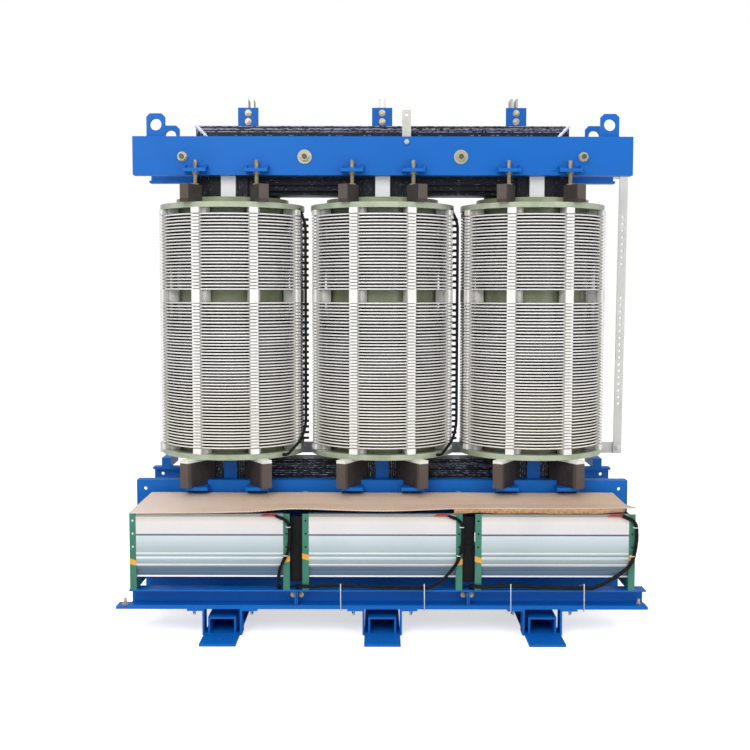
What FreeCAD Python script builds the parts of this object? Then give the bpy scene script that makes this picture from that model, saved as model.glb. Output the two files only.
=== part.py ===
import FreeCAD, Part
import math
import os

# Three-phase dry-type power transformer, open coils, with a fan row on each side.
# Millimetres. X runs along the core, Y towards the rear, Z up. The origin is the
# centre of the middle foot's underside, which lies on the core's centre plane.

# ---- driving dimensions -------------------------------------------------------

# core, a stepped stack of laminations
packet_widths = (290.0, 256.0, 212.0, 158.0)
packet_half_depths = (60.0, 90.0, 112.0, 132.0)

# tie plates beside each leg, and the boards that keep the clamps off the yokes
tie_width = 55.0
tie_thickness = 16.0
tie_gap = 4.0                  # between a tie plate and a board
sleeve_wall = 3.0
sleeve_length = 150.0

# clamps: channels with their backs outwards
clamp_overhang = 385.0         # beyond the outer legs' axes
clamp_depth = 54.0
clamp_wall = 10.0
upper_clamp_height = 157.0
lower_clamp_height = 168.0
upper_clamp_lift = 71.0        # above the upper yoke's lower edge
lower_clamp_drop = 69.0        # below the lower yoke's upper edge
clamp_hole_radius = 7.0
clamp_hole_from_end = 36.0

# ledges on the clamps, with a gusset at each end
ledge_width = 92.0
ledge_thickness = 14.0
upper_ledge_depth = 52.0
upper_ledge_lift = 24.0        # its top above the clamp's lower edge
lower_ledge_depth = 84.0
lower_ledge_drop = 18.0        # its top below the clamp's upper edge
gusset_thickness = 8.0
upper_gusset_height = 16.0
lower_gusset_height = 18.0

# lifting lugs
lug_from_end = 93.0
lug_width = 76.0
lug_height = 95.0
lug_thickness = 16.0
lug_chamfer = 14.0
lug_hole_radius = 24.0
lug_hole_height = 50.0

# coils, from the core out
core_clearance = 6.0
lv_build = 43.0
lv_duct = 24.0
cylinder_wall = 8.0
hv_duct = 8.0
hv_build = 54.0
end_ring_lip = 5.7             # beyond the discs
comb_reach = 14.0              # beyond the discs
comb_depth = 30.0
comb_width = 32.0
comb_count = 8
phase_gap = 40.0               # between two coils' discs

# coils, from the bottom up
lower_yoke_gap = 28.0          # below the coils
upper_yoke_gap = 43.0          # above the coils
end_ring_thickness = 22.0
end_gap = 23.0
lower_stack_height = 601.0
middle_gap = 51.0
upper_stack_height = 308.0
cylinder_rise = 24.0           # above the top ring

# pressing blocks and pads, along a radius of the coil, and their jack bolts
block_angle = 29.0
block_width = 42.0
block_inset = 4.0              # from the bore of what it presses
top_block_overhang = 33.0      # beyond the discs
bottom_block_overhang = 50.0   # beyond the discs
top_block_height = 58.0
pad_thickness = 13.0
jack_reach = 258.0             # from the coil axis
jack_radius = 8.0
bolt_play = 0.5
jack_above_ledge = 34.0
jack_foot_radius = 15.0
jack_foot_height = 6.0
nut_width = 24.0
nut_height = 8.0

# bolts through the clamps
core_bolt_radius = 10.0
core_bolt_clearance = 4.0
bolt_from_yoke = 36.0          # the outer bolts pass beside the yoke
inner_washer_radius = 29.0
outer_washer_radius = 20.0
washer_thickness = 5.0
bolt_nut_width = 32.0
bolt_nut_height = 14.0

# feet, with slots for the floor bolts
foot_width = 142.0
foot_half_length = 600.0
foot_thickness = 10.0
foot_slot_length = 48.0
foot_slot_width = 18.0
foot_slot_reach = 535.0
beam_width = 112.0
beam_height = 64.0
beam_wall = 8.0
beam_half_length = 450.0

# posts that carry the lower clamps on the feet
post_height = 344.0
post_width = 100.0
post_wall = 8.0

# flat bars on edge that tie the feet and the posts together
tie_bar_height = 112.0
tie_bar_half_length = 990.0

# hangers that carry the rails beside each foot
hanger_thickness = 8.0
hanger_flange = 69.0
hanger_height = 106.0
hanger_bolt_radius = 5.0
hanger_bolt_length = 26.0

# base rails: a channel on a flat bar
rail_front = 450.0             # from the centre plane
rail_depth = 70.0
rail_height = 68.0
rail_wall = 6.0
rail_beyond_left_fan = 4.0
rail_beyond_right_fan = 46.0
flat_thickness = 10.0
flat_beyond_left_fan = 58.0
flat_beyond_right_fan = 55.0

# cross-flow fans
fan_length = 637.0
fan_gap = 50.0
fan_clearance = 8.0            # behind a fan, to the clamp
fan_height = 307.0
plate_thickness = 3.0
plate_flange = 26.0
skin = 5.0
housing_lift = 51.0            # above the rail
rotor_radius = 72.0
scroll_clearance = 16.0
rotor_inset = 120.0            # from the fan's front
rotor_lift = 165.0             # above the rail
motor_radius = 40.0
motor_length = 34.0

# low-voltage terminals, above the rear of the core
terminal_spacing = 607.0
terminal_reach = 128.0         # behind the rear clamp
terminal_width = 92.0
terminal_wall = 10.0
terminal_rise = 197.0          # above the clamp
insulator_radius = 26.0
insulator_length = 60.0
busbar_width = 100.0
busbar_thickness = 10.0
busbar_gap = 14.0
busbar_rise = 52.0             # above the bracket
busbar_seat = 30.0
busbar_clearance = 4.0
busbar_hole_radius = 7.0
busbar_hole_pitch = 44.0

# earth strap on the front upper clamp
strap_offset = 97.5
strap_width = 36.0
strap_thickness = 5.0
strap_rise = 108.0             # above the clamp
strap_drop = 60.0              # below the clamp's upper edge
strap_hole_radius = 7.0
strap_hole_from_top = 19.0
strap_clearance = 1.0
strap_bolt_radius = 6.0
strap_bolt_drop = 22.0
strap_nut_width = 19.0
strap_nut_height = 9.0

# frame that holds the rear leads
lead_reach = 128.0             # behind the rear clamp
lead_bar_height = 50.0
lead_bar_thickness = 20.0
lower_lead_lift = 41.0         # above the lower clamp
upper_lead_lift = 38.0         # above the upper clamp's lower edge
lead_arm_width = 40.0
lead_arm_from_end = 60.0
board_beyond_clamp = 64.0
board_width = 37.0
board_thickness = 14.0
board_lean = 11.0              # its top leans away from the coils
board_overlap = 40.0           # above the upper bar

# cables: high-voltage leads beside two coils, and one bundle per front fan
lead_radius = 6.0
lead_beside_coil = 16.0        # its centre, beyond the combs
lead_towards_front = 95.0
cable_radius = 6.0
main_cable_radius = 8.0
cable_clearance = 5.0          # in front of the fans
bend_share = 0.45              # of the shorter run at each corner

# cardboard sheet over the front fans
sheet_thickness = 5.0
sheet_reach = 33.0             # its rear edge, in front of the clamp
sheet_beyond_fans = 1.0
sheet_taper = 50.0             # each end, towards the rear edge
sheet_rise = 46.0

# ---- worked-out dimensions ----------------------------------------------------

stack_half = packet_half_depths[-1]
clamp_inner = stack_half + tie_thickness
clamp_outer = clamp_inner + clamp_depth
core_circle = max([math.hypot(w / 2, d) for w, d in zip(packet_widths, packet_half_depths)]
                  + [math.hypot(tie_width / 2, clamp_inner)])
lv_inner_radius = core_circle + core_clearance
lv_outer_radius = lv_inner_radius + lv_build
cylinder_inner_radius = lv_outer_radius + lv_duct
cylinder_outer_radius = cylinder_inner_radius + cylinder_wall
hv_inner_radius = cylinder_outer_radius + hv_duct
hv_outer_radius = hv_inner_radius + hv_build
end_ring_radius = hv_outer_radius + end_ring_lip
comb_radius = hv_outer_radius + comb_reach
comb_seat_radius = comb_radius - comb_depth
top_block_radii = (cylinder_outer_radius + block_inset, hv_outer_radius + top_block_overhang)
bottom_block_radii = (lv_inner_radius + block_inset, hv_outer_radius + bottom_block_overhang)

phase_spacing = 2 * hv_outer_radius + phase_gap
clamp_length = 2 * (phase_spacing + clamp_overhang)
inner_bolt_offset = phase_spacing / 2
outer_bolt_offset = phase_spacing + packet_widths[0] / 2 + bolt_from_yoke
jack_offset = jack_reach * math.sin(math.radians(block_angle))
jack_plane = jack_reach * math.cos(math.radians(block_angle))

beam_top = foot_thickness + beam_height
lower_clamp_bottom = beam_top + post_height
lower_clamp_top = lower_clamp_bottom + lower_clamp_height
yoke_height = packet_widths[0]
lower_ledge_top = lower_clamp_top - lower_ledge_drop
lower_yoke_top = lower_clamp_top + lower_clamp_drop
lower_yoke_centre = lower_yoke_top - yoke_height / 2
coil_bottom = lower_yoke_top + lower_yoke_gap
ring_top = coil_bottom + end_ring_thickness
lower_stack_bottom = ring_top + end_gap
lower_stack_top = lower_stack_bottom + lower_stack_height
upper_stack_bottom = lower_stack_top + middle_gap
upper_stack_top = upper_stack_bottom + upper_stack_height
top_ring_bottom = upper_stack_top + end_gap
coil_top = top_ring_bottom + end_ring_thickness
block_bottom = coil_top + pad_thickness
upper_yoke_bottom = coil_top + upper_yoke_gap
upper_yoke_centre = upper_yoke_bottom + yoke_height / 2
upper_clamp_bottom = upper_yoke_bottom + upper_clamp_lift
upper_clamp_top = upper_clamp_bottom + upper_clamp_height
upper_ledge_top = upper_clamp_bottom + upper_ledge_lift

rail_bottom = hanger_height + flat_thickness
rail_top = rail_bottom + rail_height
fan_pitch = fan_length + fan_gap
fan_row_half = 1.5 * fan_length + fan_gap
fan_back = clamp_outer + fan_clearance
fan_top = rail_top + fan_height
housing_bottom = rail_top + housing_lift
rotor_reach = rail_front - rotor_inset
rotor_height = rail_top + rotor_lift

terminal_plane = clamp_outer + terminal_reach
terminal_top = upper_clamp_top + terminal_rise
busbar_top = terminal_top + busbar_rise
strap_top = upper_clamp_top + strap_rise
strap_bottom = upper_clamp_top - strap_drop
strap_bolt_height = upper_clamp_top - strap_bolt_drop
lead_plane = clamp_outer + lead_reach
lower_lead_bottom = lower_clamp_top + lower_lead_lift
upper_lead_bottom = upper_clamp_bottom + upper_lead_lift
board_offset = clamp_length / 2 + board_beyond_clamp
board_top = upper_lead_bottom + lead_bar_height + board_overlap

phases = (("left", -phase_spacing), ("middle", 0.0), ("right", phase_spacing))
sides = (-1, 1)                # front, rear


# ---- helpers ------------------------------------------------------------------

def block(x0, x1, y0, y1, z0, z1):
    low = FreeCAD.Vector(min(x0, x1), min(y0, y1), min(z0, z1))
    return Part.makeBox(abs(x1 - x0), abs(y1 - y0), abs(z1 - z0), low)


def rod(radius, length, start, axis):
    return Part.makeCylinder(radius, length, FreeCAD.Vector(*start), FreeCAD.Vector(*axis))


def tube(outer, inner, height, centre_x, bottom):
    solid = rod(outer, height, (centre_x, 0, bottom), (0, 0, 1))
    return solid.cut(rod(inner, height, (centre_x, 0, bottom), (0, 0, 1)))


def prism(points, run):
    wire = Part.makePolygon([FreeCAD.Vector(*p) for p in points] + [FreeCAD.Vector(*points[0])])
    return Part.Face(wire).extrude(FreeCAD.Vector(*run))


def hexagon(width, height, start, axis):
    # a nut: six sides about the given axis, measured across its flats
    circle = width / math.sqrt(3)
    corners = [(circle * math.cos(math.radians(60 * k)), circle * math.sin(math.radians(60 * k)), 0)
               for k in range(6)]
    nut = prism(corners, (0, 0, height))
    turn = FreeCAD.Rotation(FreeCAD.Vector(0, 0, 1), FreeCAD.Vector(*axis))
    nut.Placement = FreeCAD.Placement(FreeCAD.Vector(*start), turn)
    return nut


def fuse(solids):
    joined = solids[0] if len(solids) == 1 else solids[0].multiFuse(solids[1:])
    return joined.removeSplitter()


def turned(shape, degrees, centre_x):
    copy = shape.copy()
    copy.rotate(FreeCAD.Vector(centre_x, 0, 0), FreeCAD.Vector(0, 0, 1), degrees)
    return copy


def write(name, shapes):
    solids = [solid for shape in shapes for solid in shape.Solids]
    shape = solids[0] if len(solids) == 1 else Part.makeCompound(solids)
    shape.exportStep("parts/" + name + ".step")
    print(name, len(solids), "solids", round(shape.Volume / 1e6, 2), "dm3")


# ---- core ---------------------------------------------------------------------

def core_bolt_places():
    # distance along the core of each bolt through a pair of clamps
    return (-outer_bolt_offset, -inner_bolt_offset, inner_bolt_offset, outer_bolt_offset)


def bolt_hole(x, z, radius):
    return rod(radius, 2 * clamp_outer, (x, -clamp_outer, z), (0, 1, 0))


def yoke(centre_z, sign):
    # sign is 1 for the upper yoke, whose window side is below it
    layers = []
    inner = 0.0
    for width, outer in zip(packet_widths, packet_half_depths):
        reach = phase_spacing + width / 2
        near = phase_spacing - width / 2
        window = centre_z - sign * width / 2
        back = centre_z + sign * width / 2
        outline = [(-reach, back), (reach, back), (near, window), (-near, window)]
        for side in sides:
            corners = [(x, side * inner, z) for x, z in outline]
            layers.append(prism(corners, (0, side * (outer - inner), 0)))
        inner = outer
    solid = fuse(layers)
    for x in core_bolt_places():
        if abs(x) < phase_spacing:
            solid = solid.cut(bolt_hole(x, centre_z, core_bolt_radius + core_bolt_clearance))
    return solid


def leg(centre_x):
    layers = []
    inner = 0.0
    for width, outer in zip(packet_widths, packet_half_depths):
        half = width / 2
        low_inner = lower_yoke_centre + half
        high_inner = upper_yoke_centre - half
        low_outer, high_outer = low_inner, high_inner
        if centre_x:
            low_outer = lower_yoke_centre - half
            high_outer = upper_yoke_centre + half
        away = math.copysign(1, centre_x)
        outline = [(centre_x - away * half, low_inner), (centre_x + away * half, low_outer),
                   (centre_x + away * half, high_outer), (centre_x - away * half, high_inner)]
        for side in sides:
            corners = [(x, side * inner, z) for x, z in outline]
            layers.append(prism(corners, (0, side * (outer - inner), 0)))
        inner = outer
    return fuse(layers)


def tie_plate(centre_x, side):
    inner = side * stack_half
    return block(centre_x - tie_width / 2, centre_x + tie_width / 2, inner,
                 inner + side * tie_thickness, lower_clamp_bottom, upper_clamp_top)


def tie_sleeve(centre_x, side):
    # the white sleeve lies on the plate's outer face and wraps both its edges
    top = upper_clamp_bottom
    half = tie_width / 2
    outer = side * clamp_inner
    cover = block(centre_x - half - sleeve_wall, centre_x + half + sleeve_wall,
                  side * stack_half, outer + side * sleeve_wall, top - sleeve_length, top)
    return cover.cut(block(centre_x - half, centre_x + half, side * stack_half, outer,
                           top - sleeve_length, top))


def yoke_boards(bottom, top, bolt_height):
    edge = phase_spacing + packet_widths[-1] / 2
    half = tie_width / 2 + tie_gap
    stops = [-edge]
    for _, x in phases:
        stops += [x - half, x + half]
    stops.append(edge)
    boards = []
    for start, end in zip(stops[::2], stops[1::2]):
        for side in sides:
            board = block(start, end, side * stack_half, side * clamp_inner, bottom, top)
            for x in core_bolt_places():
                board = board.cut(bolt_hole(x, bolt_height, core_bolt_radius + core_bolt_clearance))
            boards.append(board)
    return boards


# ---- clamps -------------------------------------------------------------------

def ledge(centre_x, side, top, depth, gusset_rise):
    # a plate on the clamp's back, and two triangles that stiffen it
    face = side * clamp_outer
    tip = face + side * depth
    shapes = [block(centre_x - ledge_width / 2, centre_x + ledge_width / 2, face, tip,
                    top - ledge_thickness, top)]
    root = top if gusset_rise > 0 else top - ledge_thickness
    for x in (centre_x - ledge_width / 2, centre_x + ledge_width / 2 - gusset_thickness):
        corners = [(x, face, root), (x, tip, root), (x, face, root + gusset_rise)]
        shapes.append(prism(corners, (gusset_thickness, 0, 0)))
    return shapes


def clamp(side, bottom, height):
    half = clamp_length / 2
    inner, outer = side * clamp_inner, side * clamp_outer
    top = bottom + height
    return [block(-half, half, outer - side * clamp_wall, outer, bottom, top),
            block(-half, half, inner, outer, top - clamp_wall, top),
            block(-half, half, inner, outer, bottom, bottom + clamp_wall)]


def upper_clamp(side):
    shapes = clamp(side, upper_clamp_bottom, upper_clamp_height)
    for _, x in phases:
        for offset in (-jack_offset, jack_offset):
            shapes += ledge(x + offset, side, upper_ledge_top, upper_ledge_depth,
                            upper_gusset_height)
    solid = fuse(shapes)
    for _, x in phases:
        for offset in (-jack_offset, jack_offset):
            start = (x + offset, side * jack_plane, upper_ledge_top - 2 * ledge_thickness)
            solid = solid.cut(rod(jack_radius + bolt_play, 3 * ledge_thickness, start, (0, 0, 1)))
    if side < 0:
        half = strap_width / 2 + strap_clearance
        face = -clamp_outer + clamp_wall
        solid = solid.cut(block(strap_offset - half, strap_offset + half, face,
                                face + strap_thickness + strap_clearance,
                                upper_clamp_top - clamp_wall, upper_clamp_top))
        bolt = (strap_offset, -clamp_outer, strap_bolt_height)
        solid = solid.cut(rod(strap_bolt_radius + bolt_play, clamp_wall, bolt, (0, 1, 0)))
    return drill_clamp(solid, upper_yoke_centre)


def lower_clamp(side):
    shapes = clamp(side, lower_clamp_bottom, lower_clamp_height)
    for _, x in phases:
        for offset in (-jack_offset, jack_offset):
            shapes += ledge(x + offset, side, lower_ledge_top, lower_ledge_depth,
                            -lower_gusset_height)
    solid = drill_clamp(fuse(shapes), lower_yoke_centre)
    for x in (-1, 1):
        place = x * (clamp_length / 2 - clamp_hole_from_end)
        height = lower_clamp_top - clamp_hole_from_end
        solid = solid.cut(bolt_hole(place, height, clamp_hole_radius))
    return solid


def drill_clamp(solid, bolt_height):
    for x in core_bolt_places():
        solid = solid.cut(bolt_hole(x, bolt_height, core_bolt_radius + core_bolt_clearance / 4))
    return solid


def lifting_lug(x, side):
    middle = side * (clamp_inner + clamp_outer) / 2
    half = lug_width / 2
    foot = upper_clamp_top
    top = foot + lug_height
    y = middle - lug_thickness / 2
    outline = [(x - half, y, foot), (x + half, y, foot), (x + half, y, top - lug_chamfer),
               (x + half - lug_chamfer, y, top), (x - half + lug_chamfer, y, top),
               (x - half, y, top - lug_chamfer)]
    lug = prism(outline, (0, lug_thickness, 0))
    return lug.cut(rod(lug_hole_radius, lug_thickness, (x, y, foot + lug_hole_height), (0, 1, 0)))


def core_bolt(x, z):
    washer = inner_washer_radius if abs(x) < phase_spacing else outer_washer_radius
    end = clamp_outer + washer_thickness + bolt_nut_height + core_bolt_radius
    shapes = [rod(core_bolt_radius, 2 * end, (x, -end, z), (0, 1, 0))]
    for side in sides:
        shapes.append(rod(washer, washer_thickness, (x, side * clamp_outer, z), (0, side, 0)))
        shapes.append(hexagon(bolt_nut_width, bolt_nut_height,
                              (x, side * (clamp_outer + washer_thickness), z), (0, side, 0)))
    return fuse(shapes)


# ---- pressing blocks and jack bolts -------------------------------------------

def around_coil(shape, centre_x):
    # four copies, two towards each clamp
    angles = (block_angle, -block_angle, 180 - block_angle, 180 + block_angle)
    return [turned(shape, angle, centre_x) for angle in angles]


def radial_bar(centre_x, radii, bottom, height):
    half = block_width / 2
    return block(centre_x - half, centre_x + half, -radii[0], -radii[1], bottom, bottom + height)


def top_pieces(centre_x):
    pad = radial_bar(centre_x, top_block_radii, coil_top, pad_thickness)
    bar = radial_bar(centre_x, top_block_radii, block_bottom, top_block_height)
    return around_coil(pad, centre_x), around_coil(bar, centre_x)


def bottom_pieces(centre_x):
    pad_bottom = coil_bottom - pad_thickness
    pad = radial_bar(centre_x, bottom_block_radii, pad_bottom, pad_thickness)
    bar = radial_bar(centre_x, bottom_block_radii, lower_ledge_top, pad_bottom - lower_ledge_top)
    # each bar is stepped, so that it lies on the ledge and on the clamp behind it
    reach = bottom_block_radii[1]
    step = block(centre_x - reach, centre_x + reach, -clamp_outer, clamp_outer,
                 lower_ledge_top, lower_clamp_top)
    return around_coil(pad, centre_x), [bar.cut(step) for bar in around_coil(bar, centre_x)]


def jack_bolt(x, side):
    y = side * jack_plane
    foot = block_bottom + top_block_height
    top = upper_ledge_top + jack_above_ledge
    shapes = [rod(jack_foot_radius, jack_foot_height, (x, y, foot), (0, 0, 1)),
              rod(jack_radius, top - foot, (x, y, foot), (0, 0, 1)),
              hexagon(nut_width, nut_height,
                      (x, y, upper_ledge_top - ledge_thickness - nut_height), (0, 0, 1))]
    return fuse(shapes)


# ---- coils --------------------------------------------------------------------

def hv_stack(centre_x, bottom, height):
    solid = tube(hv_outer_radius, hv_inner_radius, height, centre_x, bottom)
    grooves = [comb_bar(centre_x, k, comb_seat_radius, bottom, height) for k in range(comb_count)]
    return solid.cut(Part.makeCompound(grooves))


def comb_bar(centre_x, index, inner, bottom, height, outer=comb_radius):
    half = comb_width / 2
    bar = block(centre_x - half, centre_x + half, -inner, -outer, bottom, bottom + height)
    return turned(bar, 360 / comb_count * (index + 0.5), centre_x)


def comb(centre_x, index):
    # an upright comb, with a spacer block in each gap that reaches the inner cylinder
    shapes = [comb_bar(centre_x, index, comb_seat_radius, ring_top, top_ring_bottom - ring_top)]
    for bottom, top in ((ring_top, lower_stack_bottom), (lower_stack_top, upper_stack_bottom),
                        (upper_stack_top, top_ring_bottom)):
        shapes.append(comb_bar(centre_x, index, hv_inner_radius, bottom, top - bottom,
                               comb_seat_radius))
    return fuse(shapes)


def end_ring(centre_x, bottom):
    return tube(end_ring_radius, cylinder_outer_radius, end_ring_thickness, centre_x, bottom)


def inner_cylinder(centre_x):
    height = coil_top + cylinder_rise - coil_bottom
    return tube(cylinder_outer_radius, cylinder_inner_radius, height,
                centre_x, coil_bottom)


def lv_winding(centre_x):
    return tube(lv_outer_radius, lv_inner_radius, coil_top - coil_bottom, centre_x, coil_bottom)


# ---- base ---------------------------------------------------------------------

def foot(centre_x):
    half = foot_width / 2
    plate = block(centre_x - half, centre_x + half, -foot_half_length, foot_half_length,
                  0, foot_thickness)
    for side in sides:
        run = foot_slot_length - foot_slot_width
        slot = block(centre_x - run / 2, centre_x + run / 2,
                     side * foot_slot_reach - foot_slot_width / 2,
                     side * foot_slot_reach + foot_slot_width / 2, 0, foot_thickness)
        ends = [rod(foot_slot_width / 2, foot_thickness, (centre_x + x, side * foot_slot_reach, 0),
                    (0, 0, 1)) for x in (-run / 2, run / 2)]
        plate = plate.cut(slot.multiFuse(ends))
    outer = beam_width / 2
    beam = block(centre_x - outer, centre_x + outer, -beam_half_length, beam_half_length,
                 foot_thickness, beam_top)
    hollow = block(centre_x - outer + beam_wall, centre_x + outer - beam_wall,
                   -beam_half_length, beam_half_length, foot_thickness, beam_top - beam_wall)
    return fuse([plate, beam.cut(hollow)])


def hanger(centre_x, way, side):
    near = centre_x + way * foot_width / 2
    far = near + way * hanger_flange
    front = side * rail_front
    back = side * (rail_front - rail_depth)
    wall = block(near, near + way * hanger_thickness, back, front, 0, hanger_height)
    flange = block(near, far, back, front, hanger_height - hanger_thickness, hanger_height)
    bolt = rod(hanger_bolt_radius, hanger_bolt_length,
               (far - way * hanger_flange / 3, (front + back) / 2,
                hanger_height - hanger_bolt_length), (0, 0, 1))
    return fuse([wall, flange, bolt])


def rail(side):
    front = side * rail_front
    back = side * (rail_front - rail_depth)
    left, right = -fan_row_half - rail_beyond_left_fan, fan_row_half + rail_beyond_right_fan
    flat = block(-fan_row_half - flat_beyond_left_fan, fan_row_half + flat_beyond_right_fan,
                 back, front, hanger_height, rail_bottom)
    channel = block(left, right, back, front, rail_bottom, rail_top)
    hollow = block(left, right, back + side * rail_wall, front,
                   rail_bottom + rail_wall, rail_top - rail_wall)
    return fuse([flat, channel.cut(hollow)])


def post(centre_x, side):
    inner, outer = side * clamp_inner, side * clamp_outer
    half = post_width / 2
    column = block(centre_x - half, centre_x + half, inner, outer, beam_top, lower_clamp_bottom)
    return column.cut(block(centre_x - half + post_wall, centre_x + half - post_wall,
                            inner + side * post_wall, outer - side * post_wall,
                            beam_top, lower_clamp_bottom))


def tie_bar(side):
    # on the foot beams, between the posts and the fans
    return block(-tie_bar_half_length, tie_bar_half_length, side * clamp_outer, side * fan_back,
                 beam_top, beam_top + tie_bar_height)


# ---- fans ---------------------------------------------------------------------

def fan_centres():
    return (-fan_pitch, 0.0, fan_pitch)


def housing_outline():
    # (distance from the centre plane, height) of the extruded skin's outer side
    front = rail_front
    step = (fan_top - housing_bottom) / 20
    top = fan_top - 2
    return [(front - 34, top), (front - 8, top), (front, top - step / 2),
            (front + 2, top - 3 * step), (front, top - 6.4 * step), (front - 4, top - 6.6 * step),
            (front, top - 6.8 * step), (front, top - 12 * step), (front + 4, top - 12.3 * step),
            (front - 3, top - 12.9 * step), (front + 2, top - 13.8 * step),
            (front - 3, top - 14.5 * step), (front + 3, top - 15.8 * step),
            (front - 6, top - 16.4 * step), (front - 16, top - 18 * step),
            (front - 13, top - 19.3 * step), (front - 10, housing_bottom),
            (front - 40, housing_bottom)]


def scroll_arc(radius):
    # round the rotor, from below it to behind it
    return [(rotor_reach + radius * math.cos(math.radians(a)),
             rotor_height + radius * math.sin(math.radians(a))) for a in range(-80, -191, -11)]


def housing(centre_x, side):
    front = rail_front
    top = fan_top - 2
    scroll = rotor_radius + scroll_clearance
    inner = [(front - 34, top - skin), (front - 9, top - skin), (front - 9, housing_bottom + 62),
             (front - 23, housing_bottom + 24), (front - 19, housing_bottom + skin),
             (front - 41, housing_bottom + skin)] + scroll_arc(scroll - skin)
    outline = housing_outline() + scroll_arc(scroll) + inner[::-1]
    start = centre_x - fan_length / 2 + plate_flange
    corners = [(start, side * reach, height) for reach, height in outline]
    return prism(corners, (fan_length - 2 * plate_flange, 0, 0))


def fan_plate(centre_x, way, side):
    outer = centre_x + way * fan_length / 2
    web = outer - way * plate_flange
    front = side * rail_front
    sheet = block(web, web + way * plate_thickness, side * fan_back, front, rail_top, fan_top)
    flange = block(web, outer, front - side * plate_thickness, front, rail_top, fan_top)
    return fuse([sheet, flange])


def rotor(centre_x, side):
    start = centre_x - fan_length / 2 + plate_flange
    return rod(rotor_radius, fan_length - 2 * plate_flange,
               (start, side * rotor_reach, rotor_height), (1, 0, 0))


def motor(centre_x, side):
    start = centre_x + fan_length / 2 - plate_flange + plate_thickness
    return rod(motor_radius, motor_length, (start, side * rotor_reach, rotor_height), (1, 0, 0))


# ---- terminals and leads ------------------------------------------------------

def terminal_bracket(centre_x):
    # an angle bolted on the rear clamp's top, that stands up behind the core
    half = terminal_width / 2
    upright = block(centre_x - half, centre_x + half, terminal_plane - terminal_wall,
                    terminal_plane, upper_clamp_top, terminal_top)
    tread = block(centre_x - half, centre_x + half, clamp_inner, terminal_plane,
                  upper_clamp_top, upper_clamp_top + terminal_wall)
    return fuse([upright, tread])


def insulator(centre_x):
    height = terminal_top - insulator_radius - terminal_wall
    return rod(insulator_radius, insulator_length, (centre_x, terminal_plane, height), (0, 1, 0))


def busbars(centre_x):
    # a pair of bars on edge: up off the low-voltage winding, out below the clamp, and up
    near = terminal_plane + insulator_length
    far = near + busbar_width
    root = lv_outer_radius - busbar_seat
    run_bottom = coil_top + cylinder_rise + busbar_clearance
    run_top = upper_clamp_bottom - busbar_clearance
    outline = [(root, coil_top), (lv_outer_radius, coil_top), (lv_outer_radius, run_bottom),
               (far, run_bottom), (far, busbar_top), (near, busbar_top), (near, run_top),
               (root, run_top)]
    bars = []
    for x in (centre_x - busbar_gap / 2 - busbar_thickness, centre_x + busbar_gap / 2):
        bar = prism([(x, y, z) for y, z in outline], (busbar_thickness, 0, 0))
        for dy in (-busbar_hole_pitch / 2, busbar_hole_pitch / 2):
            start = (x, (near + far) / 2 + dy, busbar_top - busbar_hole_pitch / 2)
            bar = bar.cut(rod(busbar_hole_radius, busbar_thickness, start, (1, 0, 0)))
        bars.append(bar)
    return bars


def earth_strap():
    face = -clamp_outer + clamp_wall
    strap = block(strap_offset - strap_width / 2, strap_offset + strap_width / 2,
                  face, face + strap_thickness, strap_bottom, strap_top)
    strap = strap.cut(rod(strap_hole_radius, strap_thickness,
                          (strap_offset, face, strap_top - strap_hole_from_top), (0, 1, 0)))
    bolt_length = clamp_wall + strap_nut_height + strap_bolt_radius
    start = (strap_offset, face, strap_bolt_height)
    bolt = rod(strap_bolt_radius, bolt_length, start, (0, -1, 0))
    nut = hexagon(strap_nut_width, strap_nut_height,
                  (strap_offset, -clamp_outer, strap_bolt_height), (0, -1, 0))
    return fuse([strap, bolt, nut])


def lead_frame():
    inner, outer = lead_plane, lead_plane + lead_bar_thickness
    reach = board_offset + board_width / 2
    bars = []
    for bottom in (lower_lead_bottom, upper_lead_bottom):
        bars.append(block(-clamp_length / 2, reach, inner, outer, bottom,
                          bottom + lead_bar_height))
    return bars


def lead_arms():
    arms = []
    half = lead_arm_width / 2
    for way in sides:
        x = way * (clamp_length / 2 - lead_arm_from_end)
        arms.append(block(x - half, x + half, clamp_inner, lead_plane + lead_bar_thickness,
                          lower_clamp_top, lower_lead_bottom))
        arms.append(block(x - half, x + half, clamp_outer, lead_plane,
                          upper_lead_bottom, upper_lead_bottom + lead_bar_height))
    return arms


def perforated_board():
    near = lead_plane - board_thickness
    left, right = board_offset - board_width / 2, board_offset + board_width / 2
    outline = [(left, lower_lead_bottom), (right, lower_lead_bottom),
               (right + board_lean, board_top), (left + board_lean, board_top)]
    return prism([(x, near, z) for x, z in outline], (0, board_thickness, 0))


def cardboard():
    low = fan_top
    front_half = fan_row_half + sheet_beyond_fans
    back_half = front_half - sheet_taper
    back = clamp_outer + sheet_reach
    points = [(-front_half, -rail_front, low), (front_half, -rail_front, low),
              (back_half, -back, low + sheet_rise), (-back_half, -back, low + sheet_rise)]
    wire = Part.makePolygon([FreeCAD.Vector(*p) for p in points] + [FreeCAD.Vector(*points[0])])
    return Part.Face(wire).extrude(FreeCAD.Vector(0, 0, sheet_thickness))


# ---- cables -------------------------------------------------------------------

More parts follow.
